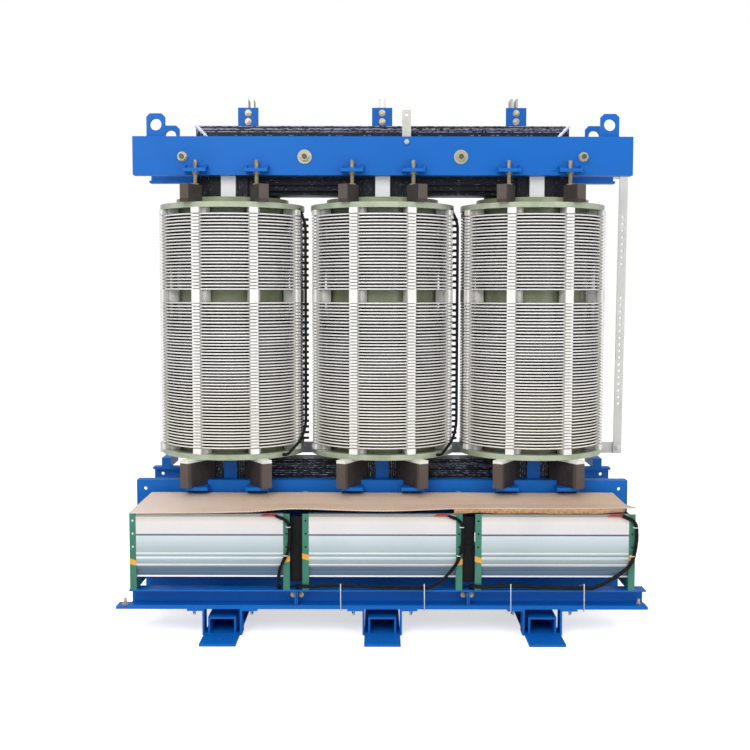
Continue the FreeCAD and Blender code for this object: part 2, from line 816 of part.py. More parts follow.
def routed(points, radius):
    # a round cable: straight runs, joined at each corner by an arc that touches both
    corners = [FreeCAD.Vector(*p) for p in points]
    edges = []
    start = corners[0]
    for before, corner, after in zip(corners, corners[1:], corners[2:]):
        back, ahead = before - corner, after - corner
        trim = bend_share * min(back.Length, ahead.Length)
        half_turn = (math.pi - back.getAngle(ahead)) / 2
        bend = trim / math.tan(half_turn)
        back.normalize()
        ahead.normalize()
        inwards = (back + ahead).normalize()
        into, out = corner + back * trim, corner + ahead * trim
        middle = corner + inwards * (bend / math.cos(half_turn) - bend)
        edges.append(Part.LineSegment(start, into).toShape())
        edges.append(Part.Arc(into, middle, out).toShape())
        start = out
    edges.append(Part.LineSegment(start, corners[-1]).toShape())
    section = Part.Wire([Part.makeCircle(radius, corners[0], corners[1] - corners[0])])
    return Part.Wire(edges).makePipeShell([section], True, True)


def hv_lead(centre_x):
    # up the coil's right side, with each end on the rim of an end ring
    x = centre_x + math.sqrt((comb_radius + lead_beside_coil) ** 2 - lead_towards_front ** 2)
    y = -lead_towards_front
    low, high = coil_bottom + end_ring_thickness / 2, coil_top - end_ring_thickness / 2
    rim = end_ring_radius - lead_radius
    ways = [(math.sin(math.radians(a)), -math.cos(math.radians(a))) for a in (48, 72)]
    foot, head = [(centre_x + rim * dx, rim * dy) for dx, dy in ways]
    outer = comb_radius + lead_beside_coil
    knee = (centre_x + outer * ways[0][0], outer * ways[0][1])
    points = [(foot[0], foot[1], low), (knee[0], knee[1], low), (x, y, low + 70),
              (x, y, high - 60), (head[0], head[1], high)]
    cable = routed(points, lead_radius)
    for bottom in (coil_bottom, top_ring_bottom):
        cable = cable.cut(rod(end_ring_radius, end_ring_thickness, (centre_x, 0, bottom), (0, 0, 1)))
    return cable


def fan_cable(drop, edge, end, radius):
    # from the cardboard's front edge down past the fan's right plate, then along the
    # rail to where it turns in under a fan, with its end on the rail
    front = -rail_front - cable_clearance - radius
    low = rail_top + 20
    points = [(edge - 44, front, fan_top - 2), (edge + 8, front, fan_top - 38),
              (edge + 8, front, fan_top - 140), (edge - 24, front, fan_top - 215), (drop, front, low)]
    if end != drop:
        points.append((end, front, low))
    points += [(end + 4, -rail_front + 20, rail_top + 14), (end + 4, -rail_front + 20, rail_top)]
    return routed(points, radius)


def fan_cables():
    edges = [x + fan_length / 2 - plate_flange / 2 for x in fan_centres()]
    turn = plate_flange + main_cable_radius
    gap_left, gap_right = -fan_pitch / 2, fan_pitch / 2
    return [fan_cable(edges[0] - turn, edges[0], edges[0] - turn, cable_radius),
            fan_cable(edges[1] - 3 * turn, edges[1], gap_left, cable_radius),
            fan_cable(edges[2] - 4 * turn, edges[2] + plate_flange, gap_right + 6, main_cable_radius)]


# ---- build --------------------------------------------------------------------

os.makedirs("parts", exist_ok=True)

write("core_upper_yoke", [yoke(upper_yoke_centre, 1)])
write("core_lower_yoke", [yoke(lower_yoke_centre, -1)])
for name, x in phases:
    write("core_leg_" + name, [leg(x)])
write("tie_plates", [tie_plate(x, side) for _, x in phases for side in sides])
write("tie_sleeves", [tie_sleeve(x, side) for _, x in phases for side in sides])
write("yoke_boards", yoke_boards(upper_clamp_bottom, upper_clamp_top, upper_yoke_centre)
      + yoke_boards(lower_clamp_bottom, lower_clamp_top, lower_yoke_centre))

write("upper_clamp_front", [upper_clamp(-1)])
write("upper_clamp_rear", [upper_clamp(1)])
write("lower_clamp_front", [lower_clamp(-1)])
write("lower_clamp_rear", [lower_clamp(1)])
lug_offset = clamp_length / 2 - lug_from_end
write("lifting_lugs", [lifting_lug(way * lug_offset, side) for way in sides for side in sides])
write("core_bolts", [core_bolt(x, z) for x in core_bolt_places()
                     for z in (upper_yoke_centre, lower_yoke_centre)])

pads, bars, jacks = [], [], []
for _, x in phases:
    for made_pads, made_bars in (top_pieces(x), bottom_pieces(x)):
        pads += made_pads
        bars += made_bars
    jacks += [jack_bolt(x + way * jack_offset, side) for way in sides for side in sides]
write("pressing_pads", pads)
write("pressing_blocks", bars)
write("jack_bolts", jacks)

for name, x in phases:
    write("hv_winding_" + name, [hv_stack(x, lower_stack_bottom, lower_stack_height),
                                 hv_stack(x, upper_stack_bottom, upper_stack_height)])
write("lv_windings", [lv_winding(x) for _, x in phases])
write("inner_cylinders", [inner_cylinder(x) for _, x in phases])
write("end_rings", [end_ring(x, z) for _, x in phases for z in (coil_bottom, top_ring_bottom)])
write("comb_spacers", [comb(x, k) for _, x in phases for k in range(comb_count)])

for name, x in phases:
    write("foot_" + name, [foot(x)])
write("foot_hangers", [hanger(x, way, side) for _, x in phases for way in sides for side in sides])
write("support_posts", [post(x, side) for _, x in phases for side in sides])
write("base_ties", [tie_bar(side) for side in sides])

for name, side in (("front", -1), ("rear", 1)):
    write("base_rail_" + name, [rail(side)])
    write("fan_housings_" + name, [housing(x, side) for x in fan_centres()])
    write("fan_plates_" + name, [fan_plate(x, way, side) for x in fan_centres() for way in sides])
    write("fan_rotors_" + name, [rotor(x, side) for x in fan_centres()])
    write("fan_motors_" + name, [motor(x, side) for x in fan_centres()])

terminals = (-terminal_spacing, 0.0, terminal_spacing)
write("terminal_brackets", [terminal_bracket(x) for x in terminals])
write("terminal_insulators", [insulator(x) for x in terminals])
write("busbars", [bar for x in terminals for bar in busbars(x)])
write("earth_strap", [earth_strap()])
write("lead_frame", lead_frame())
write("lead_arms", lead_arms())
write("perforated_board", [perforated_board()])
write("cardboard_cover", [cardboard()])
write("hv_leads", [hv_lead(x) for _, x in phases[:2]])
write("fan_cables", fan_cables())
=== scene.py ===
import math
from functools import partial

import bmesh
import bpy
from mathutils import Matrix, Vector, noise


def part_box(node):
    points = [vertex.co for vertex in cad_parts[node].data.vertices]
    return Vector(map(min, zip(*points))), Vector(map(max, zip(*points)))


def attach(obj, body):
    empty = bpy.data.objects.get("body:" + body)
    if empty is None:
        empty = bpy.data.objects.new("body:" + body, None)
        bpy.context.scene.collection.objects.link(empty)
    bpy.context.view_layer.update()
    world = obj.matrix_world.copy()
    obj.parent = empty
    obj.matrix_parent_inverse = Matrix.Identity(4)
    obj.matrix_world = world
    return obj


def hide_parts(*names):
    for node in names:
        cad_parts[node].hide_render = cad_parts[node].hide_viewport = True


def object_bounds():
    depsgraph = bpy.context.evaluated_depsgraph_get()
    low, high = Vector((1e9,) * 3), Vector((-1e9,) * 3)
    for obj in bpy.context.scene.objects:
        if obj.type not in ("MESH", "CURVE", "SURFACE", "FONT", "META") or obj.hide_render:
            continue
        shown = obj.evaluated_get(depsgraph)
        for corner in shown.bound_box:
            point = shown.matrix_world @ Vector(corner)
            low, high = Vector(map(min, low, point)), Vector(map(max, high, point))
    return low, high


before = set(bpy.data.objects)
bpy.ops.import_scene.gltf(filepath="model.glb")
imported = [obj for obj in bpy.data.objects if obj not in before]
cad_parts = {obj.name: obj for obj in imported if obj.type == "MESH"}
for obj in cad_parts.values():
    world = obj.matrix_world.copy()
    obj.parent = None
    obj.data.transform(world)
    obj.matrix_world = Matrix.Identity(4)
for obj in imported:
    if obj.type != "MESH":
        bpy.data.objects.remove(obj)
cadLow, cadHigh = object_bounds()
scene = bpy.context.scene
mm = 0.001
fanEnds = ("left", "middle", "right")
print("frame loaded:", len(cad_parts), "CAD nodes")

# what the CAD says about the coils
coils = []
for side in fanEnds:
    low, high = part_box("hv_winding_" + side)
    coils.append({"side": side, "axis": (low.x + high.x) / 2, "radius": (high.x - low.x) / 2,
        "bottom": low.z, "top": high.z})
coilSpacing = coils[2]["axis"] - coils[1]["axis"]
combLow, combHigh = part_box("comb_spacers")
outerComb = coils[0]["radius"] + 14 * mm


def socketOf(value):
    # a node stands for its first output
    return value.outputs[0] if isinstance(value, bpy.types.Node) else value


def link(source, target):
    target.id_data.links.new(socketOf(source), target)


def addNode(tree, kind, inputs=None, **settings):
    made = tree.nodes.new(kind)
    for key, value in settings.items():
        setattr(made, key, value)
    for key, value in (inputs or {}).items():
        value = socketOf(value)
        if isinstance(value, bpy.types.NodeSocket):
            link(value, made.inputs[key])
        else:
            made.inputs[key].default_value = value
    return made


def sums(operation, a, b=0.0, clamp=False):
    tree = (b if isinstance(a, float) else a).id_data
    return addNode(tree, "ShaderNodeMath", {0: a, 1: b}, operation=operation, use_clamp=clamp).outputs[0]


def plus(a, b, clamp=False):
    return sums("ADD", a, b, clamp)


def minus(a, b):
    return sums("SUBTRACT", a, b)


def times(a, b):
    return sums("MULTIPLY", a, b)


def over(a, b):
    return sums("DIVIDE", a, b)


def ranged(value, fromLow, fromHigh, toLow=0.0, toHigh=1.0):
    return addNode(value.id_data, "ShaderNodeMapRange", {0: value, 1: fromLow, 2: fromHigh, 3: toLow,
        4: toHigh}).outputs[0]


def coordinates(tree):
    # object coordinates, whole and apart
    place = addNode(tree, "ShaderNodeTexCoord").outputs["Object"]
    return place, addNode(tree, "ShaderNodeSeparateXYZ", {0: place}).outputs


def shade(red, green, blue):
    # a screen colour, as the linear colour that a socket wants
    return tuple((c / 12.92 if c <= 0.04045 else ((c + 0.055) / 1.055) ** 2.4)
        for c in (red, green, blue)) + (1.0,)


def mixed(share, first, second):
    # colours given as three numbers are screen colours
    first, second = (shade(*colour) if isinstance(colour, tuple) else colour for colour in (first, second))
    return addNode(share.id_data, "ShaderNodeMix", {0: share, 6: first, 7: second},
        data_type="RGBA").outputs[2]


def addSocket(tree, name, first, output=False):
    # the kind of a socket is named, or follows from its first value
    kind = first if isinstance(first, str) else {int: "Int", float: "Float"}.get(type(first))
    kind = kind or ("Vector" if len(first) == 3 else "Color")
    made = tree.interface.new_socket(name=name, in_out="OUTPUT" if output else "INPUT",
        socket_type="NodeSocket" + kind)
    if kind != first:
        made.default_value = first


def startGroup(name, inputs, outputs, kind="ShaderNodeTree"):
    tree = bpy.data.node_groups.new(name, kind)
    for socketName, first in inputs:
        addSocket(tree, socketName, first)
    for socketName, first in outputs:
        addSocket(tree, socketName, first, output=True)
    return tree, addNode(tree, "NodeGroupInput").outputs, addNode(tree, "NodeGroupOutput").inputs


def makeWornFinish():
    # two colours in soft patches, with a little unevenness in gloss and surface
    tree, given, out = startGroup("wornFinish", [("Colour", (1, 1, 1, 1)), ("Second Colour", (0, 0, 0, 1)),
        ("Patch Scale", 6.0), ("Patch Amount", 0.5), ("Roughness", 0.4), ("Grain Scale", 120.0)],
        [("Colour", "Color"), ("Roughness", "Float"), ("Height", "Float")])
    place = coordinates(tree)[0]
    patches = addNode(tree, "ShaderNodeTexNoise", {"Vector": place, "Scale": given["Patch Scale"],
        "Detail": 5.0, "Roughness": 0.6})
    grain = addNode(tree, "ShaderNodeTexNoise", {"Vector": place, "Scale": given["Grain Scale"],
        "Detail": 2.0})
    spread = ranged(patches, 0.42, 0.68, 0.0, given["Patch Amount"])
    link(mixed(spread, given["Colour"], given["Second Colour"]), out["Colour"])
    link(plus(given["Roughness"], times(minus(patches, 0.5), 0.25), clamp=True), out["Roughness"])
    link(grain, out["Height"])
    return tree


def makeSheetEdges():
    # thin sheets seen on edge: fine lines across one direction, with broken glints to be painted as
    # highlights
    tree, given, out = startGroup("sheetEdges", [("Across", 0.0), ("Pitch", 0.006), ("Glint Share", 0.6),
        ("Stretch", (1.0, 1.0, 1.0))], [("Line", "Float"), ("Glint", "Float"), ("Height", "Float")])
    line = sums("COMPARE", sums("FRACT", over(given["Across"], given["Pitch"])), 0.5)
    line.node.inputs[2].default_value = 0.18
    stretch = addNode(tree, "ShaderNodeMapping", {"Vector": coordinates(tree)[0], "Scale": given["Stretch"]})
    broken = addNode(tree, "ShaderNodeTexNoise", {"Vector": stretch, "Scale": 1.0, "Detail": 4.0})
    link(line, out["Line"])
    link(times(line, sums("GREATER_THAN", broken, given["Glint Share"])), out["Glint"])
    link(plus(line, times(broken, 0.6)), out["Height"])
    return tree


def makeCoilRadius():
    # distance from the nearest of the three coil axes
    tree, given, out = startGroup("coilRadius", [("Spacing", coilSpacing)], [("Radius", "Float")])
    parts = coordinates(tree)[1]
    offset = minus(parts[0], times(sums("ROUND", over(parts[0], given[0])), given[0]))
    link(sums("SQRT", plus(times(offset, offset), times(parts[1], parts[1]))), out["Radius"])
    return tree


wornFinish, sheetEdges, coilRadius = makeWornFinish(), makeSheetEdges(), makeCoilRadius()

# each finish: colour, second colour, patch scale and amount, roughness, grain scale, bump, metal, coat
finishes = {
    "bluePaint": ((0.03, 0.405, 0.755), (0.03, 0.36, 0.69), 2.5, 0.35, 0.42, 260.0, 0.05, 0.0, 0.0),
    "whiteBoard": ((0.93, 0.93, 0.91), (0.86, 0.85, 0.81), 9.0, 0.6, 0.55, 220.0, 0.08, 0.0, 0.0),
    "sleeveBoard": ((1.0, 1.0, 1.0), (0.95, 0.95, 0.94), 9.0, 0.4, 0.55, 220.0, 0.05, 0.0, 0.0),
    "blackBoard": ((0.09, 0.09, 0.11), (0.05, 0.05, 0.06), 20.0, 0.8, 0.45, 300.0, 0.3, 0.0, 0.0),
    "ringLaminate": ((0.70, 0.74, 0.65), (0.56, 0.61, 0.49), 12.0, 0.8, 0.28, 90.0, 0.10, 0.0, 0.4),
    "tubeLaminate": ((0.57, 0.60, 0.47), (0.47, 0.51, 0.38), 8.0, 0.8, 0.3, 90.0, 0.10, 0.0, 0.3),
    "castResin": ((0.75, 0.70, 0.58), (0.62, 0.56, 0.43), 10.0, 0.7, 0.45, 120.0, 0.1, 0.0, 0.1),
    "yellowZinc": ((0.88, 0.83, 0.71), (0.66, 0.59, 0.44), 55.0, 0.9, 0.36, 400.0, 0.08, 0.3, 0.0),
    "greenPaint": ((0.22, 0.50, 0.41), (0.16, 0.42, 0.34), 7.0, 0.6, 0.42, 240.0, 0.06, 0.0, 0.0),
    "galvanised": ((0.66, 0.67, 0.68), (0.52, 0.53, 0.55), 30.0, 0.7, 0.38, 200.0, 0.05, 0.85, 0.0),
    "blackPlastic": ((0.04, 0.04, 0.045), (0.09, 0.09, 0.10), 25.0, 0.6, 0.5, 300.0, 0.08, 0.0, 0.0),
    "tinnedCopper": ((0.80, 0.79, 0.77), (0.66, 0.64, 0.60), 18.0, 0.7, 0.32, 200.0, 0.05, 0.9, 0.0),
    "redResin": ((0.72, 0.10, 0.10), (0.58, 0.06, 0.06), 15.0, 0.5, 0.3, 200.0, 0.04, 0.0, 0.2),
    "orangeTape": ((0.93, 0.66, 0.22), (0.84, 0.55, 0.16), 30.0, 0.6, 0.5, 300.0, 0.1, 0.0, 0.0),
    "whiteBead": ((0.93, 0.94, 1.0), (0.78, 0.80, 0.90), 40.0, 0.8, 0.35, 200.0, 0.3, 0.0, 0.2),
    "fluteBoard": ((0.80, 0.65, 0.49), (0.56, 0.42, 0.29), 90.0, 0.9, 0.7, 300.0, 0.2, 0.0, 0.0),
    "whiteNylon": ((0.92, 0.92, 0.90), (0.84, 0.84, 0.80), 30.0, 0.5, 0.45, 200.0, 0.05, 0.0, 0.0),
    "yokeSteel": ((0.105, 0.11, 0.155), (0.06, 0.06, 0.09), 14.0, 0.8, 0.36, 300.0, 0.35, 0.0, 0.0),
    "legSteel": ((0.105, 0.11, 0.155), (0.06, 0.06, 0.09), 14.0, 0.8, 0.36, 300.0, 0.35, 0.0, 0.0),
    "discWrap": ((0.97, 0.965, 0.96), (0.89, 0.88, 0.86), 5.0, 0.6, 0.42, 200.0, 0.15, 0.0, 0.15),
    "combTeeth": ((0.97, 0.965, 0.955), (0.91, 0.90, 0.87), 14.0, 0.6, 0.5, 300.0, 0.10, 0.0, 0.1),
    "blockLaminate": ((0.24, 0.205, 0.19), (0.16, 0.14, 0.13), 16.0, 0.8, 0.6, 420.0, 0.25, 0.0, 0.0),
    "boltZinc": ((0.88, 0.83, 0.71), (0.66, 0.59, 0.44), 55.0, 0.9, 0.36, 400.0, 0.1, 0.3, 0.0),
    "threadedZinc": ((0.88, 0.83, 0.71), (0.66, 0.59, 0.44), 55.0, 0.9, 0.36, 400.0, 0.6, 0.3, 0.0),
    "padBoard": ((0.93, 0.93, 0.91), (0.86, 0.85, 0.81), 9.0, 0.6, 0.55, 220.0, 0.1, 0.0, 0.0),
    "fanSkin": ((1.0, 1.0, 1.0), (0.93, 0.94, 0.95), 3.0, 0.5, 0.42, 300.0, 0.06, 0.15, 0.0),
    "kraftBoard": ((0.93, 0.83, 0.74), (0.85, 0.73, 0.61), 2.2, 0.8, 0.55, 300.0, 0.7, 0.0, 0.0),
}

# bumps that stand out more than the usual one
bumpDepths = {"yokeSteel": 0.0015, "legSteel": 0.0015, "threadedZinc": 0.0012, "kraftBoard": 0.0015}
mutedPaints = ("bluePaint", "blackPlastic", "yokeSteel", "legSteel")
gloss = {"muted": 0.22, "coatRoughness": 0.12}

# the stacked steel: its lines, and how much of them carries painted glints (painted highlights) at the crest
# and at the base
stack = {"pitch": 0.0088, "along": 420.0, "beside": 75.0, "crest": (0.050, 0.030, 0.645, 0.475),
    "base": (0.02, -0.10, 0.0), "glint": (0.64, 0.66, 0.76)}

# the discs: where the painted shade in the gaps gives way to the wrap, and the yellowed wrap near the bottom
wrap = {"inside": (0.0045, 0.0012), "gapShade": (0.10, 0.085, 0.085), "yellow": (1.0, 0.97, 0.90),
    "yellowBelow": (0.34, 0.12, 0.45)}
paleEnd = {"from": 0.028, "to": 0.033, "share": 0.6, "colour": (0.40, 0.355, 0.32)}
# painted shade on the comb's back bar, seen between the teeth
spineShade = {"tooth": (0.0085, 0.0045), "behind": 28 * mm, "colour": (0.76, 0.75, 0.73)}

# lengths of the nut with its stud end, and of the stud end alone, at the clamp bolts
boltSteps = {"nut": 26 * mm, "stud": 9 * mm, "nutColour": (0.70, 0.69, 0.60),
    "studColour": (0.34, 0.33, 0.26)}
# the thread's pitch, and the colour of the painted shade in its grooves
thread = {"pitch": 0.0032, "groove": (0.40, 0.34, 0.22)}
# painted shade over the dimples, and a painted sheen towards the left end
flutes = {"pitches": (0.0135, 0.014), "dimple": (-0.5, 0.8, 0.0, 0.75), "dimpleShadeColour": (0.62, 0.48, 0.39),
    "paintedSheen": (-0.55, -1.0, 0.0, 0.45), "paintedSheenColour": (1.0, 0.96, 0.96)}
drawLines = (3.0, 500.0, 900.0)

# colours up the fan housing, each at its height above the floor: the skin's pale tone with painted
# highlights on the lips, painted shade in the grooves and on the concave lower panel, and painted shade
# darkening each panel downwards
fanLightBands = [(0.235, 0.90, 0.90, 0.92), (0.240, 0.88, 0.88, 0.90), (0.2415, 0.27, 0.37, 0.47),
    (0.262, 0.38, 0.47, 0.55), (0.278, 0.46, 0.53, 0.57), (0.280, 0.92, 0.93, 0.94),
    (0.2885, 0.90, 0.92, 0.93), (0.291, 0.52, 0.57, 0.59), (0.304, 0.62, 0.68, 0.69),
    (0.307, 0.86, 0.89, 0.90), (0.317, 0.80, 0.84, 0.85), (0.3205, 0.48, 0.54, 0.56),
    (0.3245, 0.62, 0.67, 0.68), (0.327, 0.93, 0.94, 0.95), (0.334, 0.90, 0.92, 0.93),
    (0.337, 0.68, 0.74, 0.74), (0.402, 0.84, 0.88, 0.91), (0.4045, 0.42, 0.44, 0.46),
    (0.4085, 0.44, 0.45, 0.46), (0.411, 0.89, 0.88, 0.89), (0.455, 0.91, 0.89, 0.88),
    (0.478, 0.84, 0.80, 0.76), (0.481, 0.55, 0.56, 0.55), (0.488, 0.66, 0.68, 0.66)]


def fromAxis(tree):
    return addNode(tree, "ShaderNodeGroup", node_tree=coilRadius).outputs[0]


def coreSteel(tree, plain, grain, axis):
    # stacked sheets under black varnish, with lines repeated along one axis and painted highlights (glints)
    # on them
    parts = coordinates(tree)[1]
    top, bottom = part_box("core_upper_yoke")[1].z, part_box("core_lower_yoke")[1].z
    start, end, crestShare, bodyShare = stack["crest"]
    crest = ranged(parts[2], top - start, top - end, crestShare, bodyShare)
    height, baseShare, noShare = stack["base"]
    share = plus(crest, ranged(parts[2], bottom, bottom + height, baseShare, noShare))
    stretch = tuple(stack["along"] if k == axis else stack["beside"] for k in range(3))
    edges = addNode(tree, "ShaderNodeGroup", {"Across": parts[axis], "Pitch": stack["pitch"],
        "Stretch": stretch, "Glint Share": share}, node_tree=sheetEdges)
    # the glint colour is a painted highlight, painted more at the crest of the upper yoke and on the lower
    # yoke
    return mixed(edges.outputs["Glint"], plain, stack["glint"]), edges.outputs["Height"]


def wrappedDisc(tree, plain, grain):
    # wrapped outer turn, and painted shade on the turns inside the gaps between discs
    outer, bottom = coils[0]["radius"], coils[0]["bottom"]
    start, end = wrap["inside"]
    high, low, share = wrap["yellowBelow"]
    yellowed = mixed(ranged(coordinates(tree)[1][2], bottom + high, bottom + low, 0.0, share), plain,
        wrap["yellow"])
    # the dark colour inside the outer face is painted shade in the gaps
    return mixed(ranged(fromAxis(tree), outer - start, outer - end), wrap["gapShade"], yellowed), grain


def paleEndBlock(tree, plain, grain):
    # pressed laminate, paler on the faces furthest out from the coil axis
    outer = coils[0]["radius"]
    end = ranged(fromAxis(tree), outer + paleEnd["from"], outer + paleEnd["to"], 0.0, paleEnd["share"])
    return mixed(end, plain, paleEnd["colour"]), grain


def boltStack(tree, plain, grain):
    # tan washers, greyer nuts and dark stud ends, told apart by how far they stand out
    out = sums("ABSOLUTE", coordinates(tree)[1][1])
    tip = -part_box("core_bolts")[0].y
    colour = mixed(sums("GREATER_THAN", out, tip - boltSteps["nut"]), plain, boltSteps["nutColour"])
    return mixed(sums("GREATER_THAN", out, tip - boltSteps["stud"]), colour, boltSteps["studColour"]), grain


def padShade(tree, plain, grain):
    # pads under the top blocks are as brown as the blocks, the lower ones are white
    upper = sums("GREATER_THAN", coordinates(tree)[1][2], (coils[0]["bottom"] + coils[0]["top"]) / 2)
    return mixed(upper, plain, finishes["blockLaminate"][0]), grain


def drawnSkin(tree, plain, grain):
    # drawn aluminium, banded by painted highlights on its lips and painted shade in its grooves and down its
    # panels, with fine draw lines
    place, parts = coordinates(tree)
    low, high = fanLightBands[0][0], fanLightBands[-1][0]
    ramp = addNode(tree, "ShaderNodeValToRGB", {0: ranged(parts[2], low, high)})
    stops = ramp.color_ramp.elements
    while len(stops) < len(fanLightBands):
        stops.new(len(stops) / len(fanLightBands))
    for stop, (level, red, green, blue) in zip(stops, fanLightBands):
        stop.position, stop.color = (level - low) / (high - low), shade(red, green, blue)
    colour = addNode(tree, "ShaderNodeMix", {0: 1.0, 6: ramp, 7: plain}, data_type="RGBA",
        blend_type="MULTIPLY").outputs[2]
    drawn = addNode(tree, "ShaderNodeMapping", {"Vector": place, "Scale": drawLines})
    return colour, addNode(tree, "ShaderNodeTexNoise", {"Vector": drawn, "Scale": 1.0, "Detail": 2.0})


def threaded(tree, plain, grain):
    # zinc studs with a thread along their length, and painted shade in the thread's grooves
    turns = sums("SINE", times(coordinates(tree)[1][2], 2 * math.pi / thread["pitch"]))
    return mixed(ranged(turns, -1.0, 0.2), thread["groove"], plain), turns


def kraftLiner(tree, plain, grain):
    # dimpled over its flutes with painted shade following the dimples, and a painted sheen towards the left
    # end
    parts = coordinates(tree)[1]
    along, deep = (sums("SINE", times(parts[k], 2 * math.pi / pitch)) for k,
        pitch in enumerate(flutes["pitches"]))
    dimples = times(along, deep)
    colour = mixed(ranged(dimples, *flutes["dimple"]), plain, flutes["dimpleShadeColour"])
    return mixed(ranged(parts[0], *flutes["paintedSheen"]), colour, flutes["paintedSheenColour"]), dimples


def combShade(tree, plain, grain):
    # pale teeth in front of a back bar greyed by painted shade between the teeth
    radius = fromAxis(tree)
    start, end = spineShade["tooth"]
    inside = sums("LESS_THAN", radius, outerComb - spineShade["behind"])
    pale = sums("MAXIMUM", ranged(radius, outerComb - start, outerComb - end), inside)
    return mixed(pale, spineShade["colour"], plain), grain


looks = {"yokeSteel": partial(coreSteel, axis=2), "legSteel": partial(coreSteel, axis=0),
    "discWrap": wrappedDisc, "blockLaminate": paleEndBlock, "boltZinc": boltStack, "padBoard": padShade,
    "fanSkin": drawnSkin, "threadedZinc": threaded, "kraftBoard": kraftLiner, "combTeeth": combShade}


def startMaterial(name):
    made = bpy.data.materials.new(name)
    made.use_nodes = True
    return made, made.node_tree, made.node_tree.nodes["Principled BSDF"].inputs


def makeMaterial(name):
    # a worn finish, with a look of its own where there is one
    first, second, scale, amount, rough, grainScale, bump, metal, coat = finishes[name]
    made, tree, surface = startMaterial(name)
    finish = addNode(tree, "ShaderNodeGroup", {"Colour": shade(*first), "Second Colour": shade(*second),
        "Patch Scale": scale, "Patch Amount": amount, "Roughness": rough, "Grain Scale": grainScale},
        node_tree=wornFinish)
    colour, roughness, height = finish.outputs
    if name in looks:
        colour, height = looks[name](tree, colour, height)
    surface["Metallic"].default_value = metal
    surface["Coat Weight"].default_value = coat
    surface["Coat Roughness"].default_value = gloss["coatRoughness"]
    if name in mutedPaints:
        surface["Specular IOR Level"].default_value = gloss["muted"]
    raised = addNode(tree, "ShaderNodeBump", {"Height": height, "Strength": bump,
        "Distance": bumpDepths.get(name, 0.001)})
    link(roughness, surface["Roughness"])
    link(colour, surface["Base Color"])
    link(raised, surface["Normal"])
    return made


materials = {name: makeMaterial(name) for name in finishes}
print("materials:", len(materials))


def settle(name, mesh, replaced=(), smooth=None):
    # a finished mesh becomes a piece of the object
    mesh.name = name
    if smooth is not None:
        mesh.shade_smooth()
        mesh.set_sharp_from_angle(angle=math.radians(smooth))
    made = bpy.data.objects.new(name, mesh)
    scene.collection.objects.link(made)
    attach(made, "root")
    if replaced:
        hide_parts(*replaced)
    return made


def tidyMesh(form, material):
    # doubles merged and faces turned outwards
    bmesh.ops.remove_doubles(form, verts=form.verts, dist=1e-6)
    bmesh.ops.recalc_face_normals(form, faces=form.faces)
    mesh = bpy.data.meshes.new("piece")
    form.to_mesh(mesh)
    form.free()
    mesh.materials.append(material)
    return mesh


def joinMeshes(meshes, material):
    form = bmesh.new()
    for mesh in meshes:
        form.from_mesh(mesh)
    mesh = bpy.data.meshes.new("joined")
    form.to_mesh(mesh)
    form.free()
    mesh.materials.clear()
    mesh.materials.append(material)
    for polygon in mesh.polygons:
        polygon.material_index = 0
    return mesh


def startGeometry(name, inputs):
    return startGroup(name, [("Geometry", "Geometry")] + inputs + [("Material", "Material")],
        [("Geometry", "Geometry")], "GeometryNodeTree")


def endGeometry(tree, given, out, geometry):
    solid = addShape(tree, "RealizeInstances", {0: geometry})
    dressed = addShape(tree, "SetMaterial", {"Geometry": solid, "Material": given["Material"]})
    link(dressed, out[0])


def grow(tree, material, values, seedMesh=None):
    # runs a tree once and returns a plain mesh
    base = seedMesh or bpy.data.meshes.new("seed")
    holder = bpy.data.objects.new("holder", base)
    scene.collection.objects.link(holder)
    modifier = holder.modifiers.new("grow", "NODES")
    modifier.node_group = tree
    named = {item.name: item.identifier for item in tree.interface.items_tree if item.in_out == "INPUT"}
    for key, value in values.items():
        modifier[named[key]] = value
    modifier[named["Material"]] = material
    evaluated = holder.evaluated_get(bpy.context.evaluated_depsgraph_get())
    mesh = bpy.data.meshes.new_from_object(evaluated)
    holder.modifiers.remove(modifier)
    bpy.data.objects.remove(holder)
    return mesh


def addShape(tree, kind, inputs=None, **settings):
    return addNode(tree, "GeometryNode" + kind, inputs, **settings)


def setOut(inputs):
    return addShape(inputs["Points"].id_data, "InstanceOnPoints", inputs)


def lineUp(tree, inputs):
    return addShape(tree, "MeshLine", inputs, mode="OFFSET")


def pointMesh(points):
    mesh = bpy.data.meshes.new("points")
    mesh.from_pydata([tuple(p) for p in points], [], [])
    return mesh


def vectorOf(tree, x=0.0, y=0.0, z=0.0):
    return addNode(tree, "ShaderNodeCombineXYZ", {0: x, 1: y, 2: z})


# discs of the high-voltage windings
discs = {"thickness": 6.5 * mm, "rounding": 2.2 * mm, "depth": 50 * mm, "widePitch": 13.2 * mm,
    "wideAbove": 10, "closeCount": 38, "upperCount": 24, "unevenness": 0.35 * mm}


